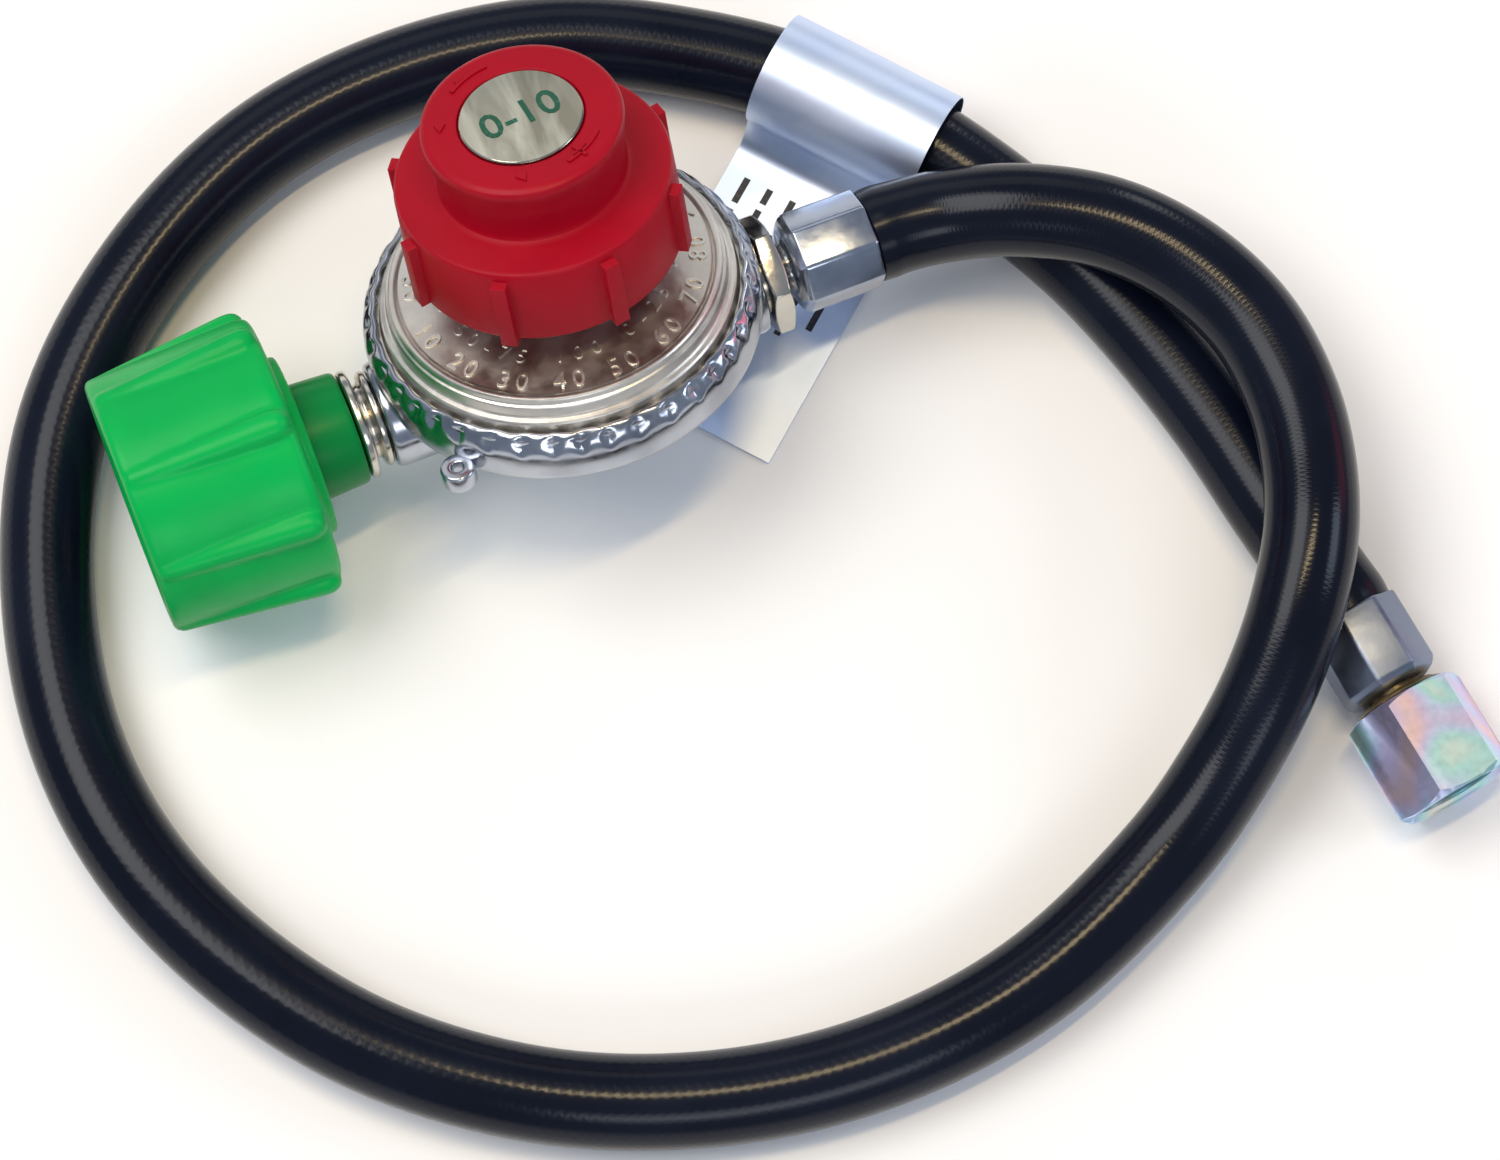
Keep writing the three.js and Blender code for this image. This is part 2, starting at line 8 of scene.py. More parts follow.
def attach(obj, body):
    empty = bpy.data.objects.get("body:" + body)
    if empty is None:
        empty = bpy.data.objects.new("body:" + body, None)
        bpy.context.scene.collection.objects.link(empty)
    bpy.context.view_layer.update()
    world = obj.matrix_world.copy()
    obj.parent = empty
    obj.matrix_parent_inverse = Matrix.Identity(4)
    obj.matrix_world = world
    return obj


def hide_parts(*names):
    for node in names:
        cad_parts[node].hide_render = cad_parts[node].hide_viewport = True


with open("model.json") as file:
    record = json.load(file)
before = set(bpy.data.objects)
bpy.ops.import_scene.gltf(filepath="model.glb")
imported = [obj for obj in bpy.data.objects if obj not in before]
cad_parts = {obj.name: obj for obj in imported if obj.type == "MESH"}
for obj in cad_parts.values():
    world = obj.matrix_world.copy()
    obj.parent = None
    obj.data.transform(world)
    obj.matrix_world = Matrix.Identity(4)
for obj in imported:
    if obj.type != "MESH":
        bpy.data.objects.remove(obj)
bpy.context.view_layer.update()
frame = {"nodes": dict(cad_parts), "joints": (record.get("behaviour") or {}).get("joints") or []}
joints = {joint["name"]: joint for joint in frame["joints"]}
MM = 0.001
bpy.ops.object.select_all(action="DESELECT")

# Where the regulator lies. Its body axis is the knob's axis and its inlet axis is the
# coupling nut's. Pieces are made upright about the point where the two axes meet, and
# are then leant over by this placing.
body_axis = -Vector(joints["knob_turn"]["axis"])
inlet_axis = Vector(joints["nut_spin"]["axis"])
KNOB_JOINT_HEIGHT = 40 * MM
crossing = Vector(joints["knob_turn"]["pos_m"]) - KNOB_JOINT_HEIGHT * body_axis
side_axis = body_axis.cross(inlet_axis)
leaning = Matrix((inlet_axis, side_axis, body_axis)).transposed().to_4x4()
regulator_place = Matrix.Translation(crossing) @ leaning
along_inlet = regulator_place @ Matrix.Rotation(math.pi / 2, 4, "Y")

# The far end of the hose, with +Z running from the hose into its fitting.
END_MOUTH = Vector((105.2, -89.2, 10.05)) * MM
END_HEADING = math.radians(-82.7)
end_mouth = Vector((crossing.x + END_MOUTH.x, crossing.y + END_MOUTH.y, END_MOUTH.z))
end_turn = Matrix.Rotation(END_HEADING, 4, "Z") @ Matrix.Rotation(math.pi / 2, 4, "Y")
end_place = Matrix.Translation(end_mouth) @ end_turn

# Camera: a long lens almost overhead, with the inlet axis rising to the right.
aim = Vector((27.6, -48.6, 0)) * MM
CAMERA_DISTANCE = 0.7694
CAMERA_AZIMUTH = math.radians(-21.93)
CAMERA_ELEVATION = math.radians(75)
back = Vector((
    math.sin(CAMERA_AZIMUTH) * math.cos(CAMERA_ELEVATION),
    -math.cos(CAMERA_AZIMUTH) * math.cos(CAMERA_ELEVATION),
    math.sin(CAMERA_ELEVATION),
))
camera_data = bpy.data.cameras.new("camera")
camera_data.lens = 108
camera_data.sensor_width = 36
camera = bpy.data.objects.new("camera", camera_data)
camera.location = aim + CAMERA_DISTANCE * back
camera.rotation_mode = "QUATERNION"
camera.rotation_quaternion = (-back).to_track_quat("-Z", "Y")
bpy.context.scene.collection.objects.link(camera)
bpy.context.scene.camera = camera


# Hose: black rubber over a textile braid, out of the outlet ferrule, over its own far
# end, once round the table and back under itself. It is squeezed thin inside each crimp
# and swells a little just outside it.
HOSE_DIAMETER = 15.9 * MM
OUTLET_CRIMP_START = 40.8 * MM
CRIMP_LENGTH = 13.4 * MM
HOSE_ROUTE = [
    (67, -1.2, 20.9), (79, -5.8, 23.6), (92.2, -14.2, 24.8), (102, -25.8, 24.6),
    (107.6, -39.1, 24.4), (108.6, -53, 24.5), (106.4, -65, 25.3), (101.9, -76.2, 26),
    (95.2, -86.6, 24.6), (86, -97, 20), (74.4, -106.4, 13.8), (60.5, -115, 9.6),
    (31.5, -126.4, 8), (2.3, -129.1, 8), (-26.3, -124, 8), (-53.5, -111.5, 8),
    (-77.9, -90.2, 8), (-95.7, -59.6, 8), (-100.9, -31.5, 8), (-96.5, -2.5, 8),
    (-84, 24.5, 8), (-62.1, 45.6, 8), (-35.8, 58.8, 8), (-8.3, 62.2, 8.2),
    (18.5, 57.8, 8.7), (41.4, 45.6, 9.3), (59, 31.5, 9.6), (71, 16.5, 9.2),
    (81.4, 0, 8), (88.6, -14.7, 8), (94.2, -31, 8), (98.7, -48.9, 8), (101.6, -66.5, 8.3),
]


def on_inlet_axis(distance):
    return crossing + distance * inlet_axis


def on_end_axis(distance):
    return end_place @ Vector((0, 0, distance))


def smooth_route(corners, steps):
    """Points on the smooth curve through the corners, spaced by the root of their distance."""
    first = 2 * corners[0] - corners[1]
    last = 2 * corners[-1] - corners[-2]
    line = [first] + corners + [last]
    points = []
    for p0, p1, p2, p3 in zip(line, line[1:], line[2:], line[3:]):
        d0, d1, d2 = (math.sqrt((b - a).length) for a, b in ((p0, p1), (p1, p2), (p2, p3)))
        leave = ((p1 - p0) / d0 - (p2 - p0) / (d0 + d1) + (p2 - p1) / d1) * d1
        reach = ((p2 - p1) / d1 - (p3 - p1) / (d1 + d2) + (p3 - p2) / d2) * d1
        for step in range(steps):
            t = step / steps
            bend = (3 * (p2 - p1) - 2 * leave - reach) * t ** 2
            points.append(p1 + leave * t + bend + (2 * (p1 - p2) + leave + reach) * t ** 3)
    return points + [corners[-1]]


hose_corners = [on_inlet_axis(OUTLET_CRIMP_START + d * MM) for d in (0, 6, 13.4, 17.4)]
for x, y, z in HOSE_ROUTE:
    hose_corners.append(Vector((crossing.x + x * MM, crossing.y + y * MM, z * MM)))
hose_corners += [on_end_axis(d * MM) for d in (-4, 0, 6, 13.1)]
hose_line = smooth_route(hose_corners, 10)
hose_length = sum((b - a).length for a, b in zip(hose_line, hose_line[1:]))

hose_curve = bpy.data.curves.new("hose", "CURVE")
hose_curve.dimensions = "3D"
hose_spline = hose_curve.splines.new("POLY")
hose_spline.points.add(len(hose_line) - 1)
gone = 0
for i, (point, knot) in enumerate(zip(hose_line, hose_spline.points)):
    knot.co = (*point, 1)
    gone += (point - hose_line[i - 1]).length if i else 0
    from_end = min(gone, hose_length - gone)
    swell = math.exp(-(((from_end - CRIMP_LENGTH - 2.5 * MM) / (2 * MM)) ** 2))
    knot.radius = 0.88 if from_end < CRIMP_LENGTH - 0.5 * MM else 1 + 0.025 * swell
hose_curve.bevel_depth = HOSE_DIAMETER / 2
hose_curve.bevel_resolution = 12
hose_curve.use_fill_caps = True
hose = bpy.data.objects.new("hose_rubber", hose_curve)
bpy.context.scene.collection.objects.link(hose)


def pick(*pieces):
    """Selects these pieces alone, the first of them the active one."""
    bpy.ops.object.select_all(action="DESELECT")
    for piece in pieces:
        piece.select_set(True)
    bpy.context.view_layer.objects.active = pieces[0]


pick(hose)
bpy.ops.object.convert(target="MESH")
hose = bpy.context.object
bpy.ops.object.mode_set(mode="EDIT")
bpy.ops.mesh.select_all(action="SELECT")
bpy.ops.mesh.remove_doubles(threshold=0.00001)
bpy.ops.mesh.normals_make_consistent(inside=False)
bpy.ops.object.mode_set(mode="OBJECT")
bpy.ops.object.shade_smooth_by_angle(angle=math.radians(40))


def blank_material(name):
    """A new material, with its nodes, its links and its shader."""
    material = bpy.data.materials.new(name)
    material.use_nodes = True
    tree = material.node_tree
    return material, tree.nodes, tree.links, tree.nodes["Principled BSDF"]


def hose_rubber(name, colour, bloom_colour, braid_rows, braid_turns):
    """Satin black rubber: the braid beneath shows through as fine crossing ridges."""
    material, nodes, links, shader = blank_material(name)
    shader.inputs["Specular IOR Level"].default_value = 0.22
    shader.inputs["Specular Tint"].default_value = (0.92, 0.95, 1.0, 1)

    along = nodes.new("ShaderNodeUVMap")
    along.label = "along and round the hose"
    along.location = (-1500, 0)
    parts = nodes.new("ShaderNodeSeparateXYZ")
    parts.label = "length and turn apart"
    parts.location = (-1320, 0)
    links.new(along.outputs["UV"], parts.inputs[0])

    braid = nodes.new("NodeFrame")
    braid.label = "braid showing through"
    ridges = []
    for hand, height in ((1, 120), (-1, -160)):
        rows = nodes.new("ShaderNodeMath")
        rows.operation = "MULTIPLY"
        rows.label = "braid rows along the hose"
        rows.inputs[1].default_value = braid_rows * 2 * math.pi
        rows.location = (-1120, height)
        rows.parent = braid
        links.new(parts.outputs["X"], rows.inputs[0])
        turn = nodes.new("ShaderNodeMath")
        turn.operation = "MULTIPLY_ADD"
        turn.label = "yarns winding one way"
        turn.inputs[1].default_value = hand * braid_turns * 2 * math.pi
        turn.location = (-940, height)
        turn.parent = braid
        links.new(parts.outputs["Y"], turn.inputs[0])
        links.new(rows.outputs[0], turn.inputs[2])
        ridge = nodes.new("ShaderNodeMath")
        ridge.operation = "SINE"
        ridge.label = "ridge of one yarn"
        ridge.location = (-760, height)
        ridge.parent = braid
        links.new(turn.outputs[0], ridge.inputs[0])
        ridges.append(ridge)
    crossing_ridges = nodes.new("ShaderNodeMath")
    crossing_ridges.operation = "MAXIMUM"
    crossing_ridges.label = "upper yarn at each crossing"
    crossing_ridges.location = (-580, 0)
    crossing_ridges.parent = braid
    links.new(ridges[0].outputs[0], crossing_ridges.inputs[0])
    links.new(ridges[1].outputs[0], crossing_ridges.inputs[1])

    skin = nodes.new("NodeFrame")
    skin.label = "extruded skin and dust bloom"
    place = nodes.new("ShaderNodeTexCoord")
    place.label = "place on the hose"
    place.location = (-1120, -420)
    place.parent = skin
    bloom = nodes.new("ShaderNodeTexNoise")
    bloom.label = "dull bloom patches"
    bloom.inputs["Scale"].default_value = 28
    bloom.inputs["Detail"].default_value = 5
    bloom.location = (-880, -360)
    bloom.parent = skin
    links.new(place.outputs["Object"], bloom.inputs["Vector"])
    pores = nodes.new("ShaderNodeTexNoise")
    pores.label = "pores of the rubber"
    pores.inputs["Scale"].default_value = 1600
    pores.inputs["Detail"].default_value = 3
    pores.location = (-880, -620)
    pores.parent = skin
    links.new(place.outputs["Object"], pores.inputs["Vector"])
    tone = nodes.new("ShaderNodeValToRGB")
    tone.label = "black rubber to grey bloom"
    tone.color_ramp.elements[0].position = 0.42
    tone.color_ramp.elements[0].color = (*colour, 1)
    tone.color_ramp.elements[1].position = 0.75
    tone.color_ramp.elements[1].color = (*bloom_colour, 1)
    tone.location = (-580, -320)
    tone.parent = skin
    links.new(bloom.outputs["Fac"], tone.inputs["Fac"])
    links.new(tone.outputs["Color"], shader.inputs["Base Color"])
    gloss = nodes.new("ShaderNodeMapRange")
    gloss.label = "gloss, dulled by the bloom"
    gloss.inputs["To Min"].default_value = 0.13
    gloss.inputs["To Max"].default_value = 0.26
    gloss.location = (-580, -560)
    gloss.parent = skin
    links.new(bloom.outputs["Fac"], gloss.inputs["Value"])
    links.new(gloss.outputs["Result"], shader.inputs["Roughness"])

    pore_bump = nodes.new("ShaderNodeBump")
    pore_bump.label = "pores"
    pore_bump.inputs["Strength"].default_value = 0.12
    pore_bump.inputs["Distance"].default_value = 0.00004
    pore_bump.location = (-380, -760)
    links.new(pores.outputs["Fac"], pore_bump.inputs["Height"])
    braid_bump = nodes.new("ShaderNodeBump")
    braid_bump.label = "braid ridges"
    braid_bump.inputs["Strength"].default_value = 0.13
    braid_bump.inputs["Distance"].default_value = 0.00004
    braid_bump.location = (-200, -600)
    links.new(crossing_ridges.outputs[0], braid_bump.inputs["Height"])
    links.new(pore_bump.outputs["Normal"], braid_bump.inputs["Normal"])
    links.new(braid_bump.outputs["Normal"], shader.inputs["Normal"])
    return material


black_rubber = hose_rubber("black_rubber", (0.0025, 0.0040, 0.0105), (0.006, 0.009, 0.020), 620, 22)
hose.data.materials.append(black_rubber)


def fit(piece, place, finish, body, slot, *nodes):
    """Moves a finished piece to its place on the object and fixes it to its body."""
    pick(piece)
    piece.matrix_world = place
    bpy.ops.object.transform_apply(location=True, rotation=True, scale=True)
    piece.data.materials.clear()
    piece.data.materials.append(finish)
    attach(piece, body)
    if nodes:
        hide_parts(*nodes)


fit(hose, Matrix(), black_rubber, "regulator_body", "black_rubber", "hose")


# Table: a plain pale sheet that everything lies on.
bpy.ops.mesh.primitive_plane_add(size=6, location=(0, 0, -0.0002))
table = bpy.context.object
table.name = "table"


def pale_table(name, colour):
    """Matt white board with a trace of unevenness."""
    material, nodes, links, shader = blank_material(name)
    shader.inputs["Roughness"].default_value = 0.8
    shader.inputs["Specular IOR Level"].default_value = 0.2
    place = nodes.new("ShaderNodeTexCoord")
    place.label = "place on the table"
    place.location = (-800, 0)
    cloud = nodes.new("ShaderNodeTexNoise")
    cloud.label = "faint cloudiness"
    cloud.inputs["Scale"].default_value = 3
    cloud.location = (-600, 0)
    links.new(place.outputs["Object"], cloud.inputs["Vector"])
    tone = nodes.new("ShaderNodeValToRGB")
    tone.label = "white to off-white"
    tone.color_ramp.elements[0].color = (*(0.99 * c for c in colour), 1)
    tone.color_ramp.elements[1].color = (*colour, 1)
    tone.location = (-400, 0)
    links.new(cloud.outputs["Fac"], tone.inputs["Fac"])
    links.new(tone.outputs["Color"], shader.inputs["Base Color"])
    return material


table.data.materials.append(pale_table("pale_table", (0.93, 0.93, 0.935)))

# Studio light: a dim cool surround, one soft key high on the left, a card behind that the
# sloping metal mirrors, a thin gold strip overhead, fills at both sides and a small red lamp.
world = bpy.data.worlds.new("surround")
world.use_nodes = True
world.node_tree.nodes["Background"].inputs["Color"].default_value = (0.72, 0.82, 1.0, 1)
world.node_tree.nodes["Background"].inputs["Strength"].default_value = 0.36
bpy.context.scene.world = world
LIGHTS = [
    ("key", (-0.42, 0.30, 1.10), (0.85, 0.65), 9.4, (1.0, 0.96, 0.90)),
    ("gold_strip", (0.12, 0.02, 1.20), (0.045, 0.40), 3.6, (1.0, 0.76, 0.42)),
    ("back_card", (0.15, 1.00, 0.62), (1.00, 0.45), 0.9, (1.0, 0.93, 0.82)),
    ("bright_corner", (0.70, 0.62, 0.42), (0.16, 0.30), 0.55, (1.0, 0.96, 0.9)),
    ("right_fill", (0.95, -0.35, 0.62), (0.45, 0.35), 2.2, (0.78, 0.88, 1.0)),
    ("front_fill", (-0.15, -0.95, 0.75), (0.70, 0.30), 2.4, (0.97, 0.98, 1.0)),
    ("red_lamp", (0.95, -0.05, 0.26), (0.28, 0.28), 0.30, (1.0, 0.10, 0.16)),
]
for name, spot, size, power, colour in LIGHTS:
    light_data = bpy.data.lights.new(name, "AREA")
    light_data.shape = "RECTANGLE"
    light_data.size, light_data.size_y = size
    light_data.energy = power
    light_data.color = colour
    light = bpy.data.objects.new(name, light_data)
    light.location = spot
    light.rotation_mode = "QUATERNION"
    light.rotation_quaternion = (-Vector(spot)).to_track_quat("-Z", "Y")
    bpy.context.scene.collection.objects.link(light)
bpy.context.scene.view_settings.view_transform = "Standard"


# Knob: one crimson moulding in two steps, a waisted drum on a ribbed skirt, with turning
# marks raised on its top and a shallow seat for the disc. It is pressed on the screw.
KNOB_BOTTOM = 29.2
KNOB_LEDGE = 43.9
KNOB_TOP = 56.3
SKIRT_RADIUS = 22.7
KNOB_RIBS = 8
KNOB_RIB_PHASE = math.radians(-33.5)


def turned(name, outline, steps=128):
    """Spins an outline of (radius, height) in millimetres once round Z."""
    bpy.ops.object.select_all(action="DESELECT")
    bpy.ops.mesh.primitive_plane_add(size=MM)
    piece = bpy.context.object
    piece.name = name
    bpy.ops.object.mode_set(mode="EDIT")
    bpy.ops.mesh.merge(type="CENTER")
    here = Vector((outline[0][0], 0, outline[0][1])) * MM
    bpy.ops.transform.translate(value=here)
    for radius, height in outline[1:]:
        step = Vector((radius, 0, height)) * MM - here
        bpy.ops.mesh.extrude_region_move(TRANSFORM_OT_translate={"value": step})
        here = here + step
    bpy.ops.mesh.select_all(action="SELECT")
    bpy.ops.mesh.spin(steps=steps, angle=2 * math.pi, center=(0, 0, 0), axis=(0, 0, 1))
    bpy.ops.mesh.select_all(action="SELECT")
    bpy.ops.mesh.remove_doubles(threshold=0.000002)
    bpy.ops.mesh.normals_make_consistent(inside=False)
    bpy.ops.object.mode_set(mode="OBJECT")
    return piece


def soften(piece, width, segments=3, angle=30):
    """Rounds a piece's sharp edges and smooths its faces."""
    pick(piece)
    bevel = piece.modifiers.new("rounded edges", "BEVEL")
    bevel.width = width * MM
    bevel.segments = segments
    bevel.limit_method = "ANGLE"
    bevel.angle_limit = math.radians(angle)
    bevel.use_clamp_overlap = True
    bpy.ops.object.modifier_apply(modifier=bevel.name)
    bpy.ops.object.shade_smooth_by_angle(angle=math.radians(35))


def block(name, low, high):
    """A box between two corners in millimetres."""
    bpy.ops.object.select_all(action="DESELECT")
    low, high = Vector(low) * MM, Vector(high) * MM
    bpy.ops.mesh.primitive_cube_add(size=1, location=(low + high) / 2, scale=high - low)
    piece = bpy.context.object
    piece.name = name
    bpy.ops.object.transform_apply(location=True, rotation=True, scale=True)
    return piece


def copies_round(piece, count, phase, axis="Z"):
    """Turns a piece to the first of evenly spaced places and copies it to the rest."""
    ring = []
    for i in range(count):
        copy = piece if i == count - 1 else piece.copy()
        if copy is not piece:
            copy.data = piece.data.copy()
            bpy.context.scene.collection.objects.link(copy)
        copy.data.transform(Matrix.Rotation(phase + 2 * math.pi * i / count, 4, axis))
        ring.append(copy)
    return ring


def weld(main, others, operation="UNION"):
    """Joins other solids to the main one, or cuts them out of it, and clears them away."""
    tool = others[0]
    if len(others) > 1:
        pick(*others)
        bpy.ops.object.join()
    pick(main)
    join = main.modifiers.new("weld", "BOOLEAN")
    join.operation = operation
    join.solver = "EXACT"
    join.use_self = True
    join.object = tool
    bpy.ops.object.modifier_apply(modifier=join.name)
    bpy.data.objects.remove(tool)


knob = turned("knob_moulding", [
    (0, 41.6), (20.2, 41.6), (20.6, KNOB_BOTTOM), (SKIRT_RADIUS + 0.2, KNOB_BOTTOM),
    (SKIRT_RADIUS, KNOB_LEDGE - 0.9), (SKIRT_RADIUS - 0.35, KNOB_LEDGE - 0.2),
    (SKIRT_RADIUS - 1, KNOB_LEDGE), (16.6, KNOB_LEDGE), (15.6, KNOB_LEDGE + 0.35),
    (15.3, KNOB_LEDGE + 1.2), (15.5, KNOB_LEDGE + 5), (16.3, KNOB_TOP - 2.2),
    (16.45, KNOB_TOP - 1.2), (16.2, KNOB_TOP - 0.5), (15.6, KNOB_TOP - 0.1), (15, KNOB_TOP),
    (10.5, KNOB_TOP), (10.3, KNOB_TOP - 0.2), (10.3, KNOB_TOP - 0.9), (0, KNOB_TOP - 0.9),
])
knob_rib = block("knob_rib", (SKIRT_RADIUS - 1.2, -1.3, KNOB_BOTTOM - 0.5), (24.3, 1.3, KNOB_LEDGE - 1.6))
weld(knob, copies_round(knob_rib, KNOB_RIBS, KNOB_RIB_PHASE))
soften(knob, 0.32)


def moulded_plastic(name, colour, shade, roughness, grain):
    """Glossy moulded plastic with a spark-eroded grain and faint flow marks."""
    material, nodes, links, shader = blank_material(name)
    shader.inputs["Specular IOR Level"].default_value = 0.17
    place = nodes.new("ShaderNodeTexCoord")
    place.label = "place on the moulding"
    place.location = (-1100, 0)

    tint = nodes.new("NodeFrame")
    tint.label = "colour with flow marks"
    flow = nodes.new("ShaderNodeTexNoise")
    flow.label = "flow of the melt"
    flow.inputs["Scale"].default_value = 45
    flow.inputs["Detail"].default_value = 4
    flow.inputs["Distortion"].default_value = 0.8
    flow.location = (-860, 160)
    flow.parent = tint
    links.new(place.outputs["Object"], flow.inputs["Vector"])
    tone = nodes.new("ShaderNodeValToRGB")
    tone.label = "deep to full colour"
    tone.color_ramp.elements[0].position = 0.3
    tone.color_ramp.elements[0].color = (*shade, 1)
    tone.color_ramp.elements[1].position = 0.62
    tone.color_ramp.elements[1].color = (*colour, 1)
    tone.location = (-640, 160)
    tone.parent = tint
    links.new(flow.outputs["Fac"], tone.inputs["Fac"])
    links.new(tone.outputs["Color"], shader.inputs["Base Color"])

    surface = nodes.new("NodeFrame")
    surface.label = "mould grain and gloss"
    pits = nodes.new("ShaderNodeTexNoise")
    pits.label = "mould grain"
    pits.inputs["Scale"].default_value = 2400
    pits.inputs["Detail"].default_value = 2
    pits.location = (-860, -120)
    pits.parent = surface
    links.new(place.outputs["Object"], pits.inputs["Vector"])
    handling = nodes.new("ShaderNodeTexNoise")
    handling.label = "rubbed and handled patches"
    handling.inputs["Scale"].default_value = 120
    handling.inputs["Detail"].default_value = 6
    handling.location = (-860, -380)
    handling.parent = surface
    links.new(place.outputs["Object"], handling.inputs["Vector"])
    gloss = nodes.new("ShaderNodeMapRange")
    gloss.label = "gloss of grain and rubbed patches"
    gloss.inputs["From Min"].default_value = 0.3
    gloss.inputs["From Max"].default_value = 0.7
    gloss.inputs["To Min"].default_value = roughness - 0.06
    gloss.inputs["To Max"].default_value = roughness + 0.08
    gloss.location = (-640, -380)
    gloss.parent = surface
    links.new(handling.outputs["Fac"], gloss.inputs["Value"])
    links.new(gloss.outputs["Result"], shader.inputs["Roughness"])
    relief = nodes.new("ShaderNodeBump")
    relief.label = "grain relief"
    relief.inputs["Strength"].default_value = grain
    relief.inputs["Distance"].default_value = 0.00005
    relief.location = (-640, -120)
    relief.parent = surface
    links.new(pits.outputs["Fac"], relief.inputs["Height"])
    links.new(relief.outputs["Normal"], shader.inputs["Normal"])
    return material


crimson = moulded_plastic("crimson_plastic", (0.36, 0.0008, 0.013), (0.31, 0.0006, 0.010), 0.42, 0.30)
fit(knob, regulator_place, crimson, "knob_unit", "red_plastic", "knob")


def raised_sign(name, sign, size, height, swell=0):
    """One sign cut from flat stock, its strokes swollen a little, its foot at zero."""
    bpy.ops.object.select_all(action="DESELECT")
    bpy.ops.object.text_add()
    piece = bpy.context.object
    piece.name = name
    piece.data.body = sign
    piece.data.size = size * MM
    piece.data.align_x = "CENTER"
    piece.data.align_y = "CENTER"
    piece.data.extrude = height * MM / 2
    piece.data.resolution_u = 3
    piece.data.offset = swell * MM
    bpy.ops.object.convert(target="MESH")
    piece = bpy.context.object
    piece.data.transform(Matrix.Translation((0, 0, height * MM / 2)))
    return piece


def arc_bar(name, radius, width, height, start, sweep):
    """A flat bar bent round Z, from its starting angle, with a pointed head at its end."""
    bar = block(name, (radius - width / 2, -0.05, 0), (radius + width / 2, 0, height))
    bpy.ops.object.mode_set(mode="EDIT")
    bpy.ops.mesh.select_all(action="DESELECT")
    bpy.ops.object.mode_set(mode="OBJECT")
    for face in bar.data.polygons:
        face.select = face.normal.y > 0.9
    bpy.ops.object.mode_set(mode="EDIT")
    bpy.ops.mesh.spin(steps=16, angle=sweep, center=(0, 0, 0), axis=(0, 0, 1))
    bpy.ops.object.mode_set(mode="OBJECT")
    bpy.ops.mesh.primitive_cylinder_add(vertices=3, radius=width * 1.6 * MM, depth=height * MM)
    head = bpy.context.object
    tip_turn = math.radians(90) if sweep > 0 else math.radians(-90)
    head.data.transform(Matrix.Rotation(tip_turn - math.pi / 2, 4, "Z"))
    head.data.transform(Matrix.Translation((radius * MM, 0, height * MM / 2)))
    head.data.transform(Matrix.Rotation(sweep, 4, "Z"))
    pick(bar, head)
    bpy.ops.object.join()
    bar.data.transform(Matrix.Rotation(start, 4, "Z"))
    pick(bar)
    bpy.ops.object.mode_set(mode="EDIT")
    bpy.ops.mesh.select_all(action="SELECT")
    bpy.ops.mesh.normals_make_consistent(inside=False)
    bpy.ops.object.mode_set(mode="OBJECT")
    return bar


def join_all(name, pieces):
    """Makes one object of loose pieces."""
    pick(*pieces)
    bpy.ops.object.join()
    joined = bpy.context.object
    joined.name = name
    return joined


TURN_MARK_RADIUS = 13
TURN_MARK_HEIGHT = 0.35
turn_marks = []
for sign, angle, sweep in (("-", 118, 34), ("+", -62, -34)):
    mark = raised_sign("turn_sign", sign, 6.5, TURN_MARK_HEIGHT)
    mark.data.transform(Matrix.Translation((0, -TURN_MARK_RADIUS * MM, 0)))
    mark.data.transform(Matrix.Rotation(math.radians(angle + 90), 4, "Z"))
    turn_marks.append(mark)
    start = math.radians(angle + (12 if sweep > 0 else -12))
    arrow = arc_bar("turn_arrow", TURN_MARK_RADIUS, 0.7, TURN_MARK_HEIGHT, start, math.radians(sweep))
    turn_marks.append(arrow)
turn_mark = join_all("knob_turn_marks", turn_marks)
turn_mark.data.transform(Matrix.Translation((0, 0, (KNOB_TOP - 0.02) * MM)))
fit(turn_mark, regulator_place, crimson, "knob_unit", "red_plastic")


# Disc: mirror-finished foil stamped to a shallow dome and stuck in the knob's seat, with
# its pressure range printed in green.
DISC_TOP = 56.75
disc = turned("knob_disc_foil", [
    (0, KNOB_TOP - 0.6), (9.9, KNOB_TOP - 0.6), (10.05, KNOB_TOP + 0.05), (9.8, KNOB_TOP + 0.25),
    (8, DISC_TOP - 0.14), (5, DISC_TOP - 0.05), (0, DISC_TOP),
])
soften(disc, 0.05, segments=2, angle=40)


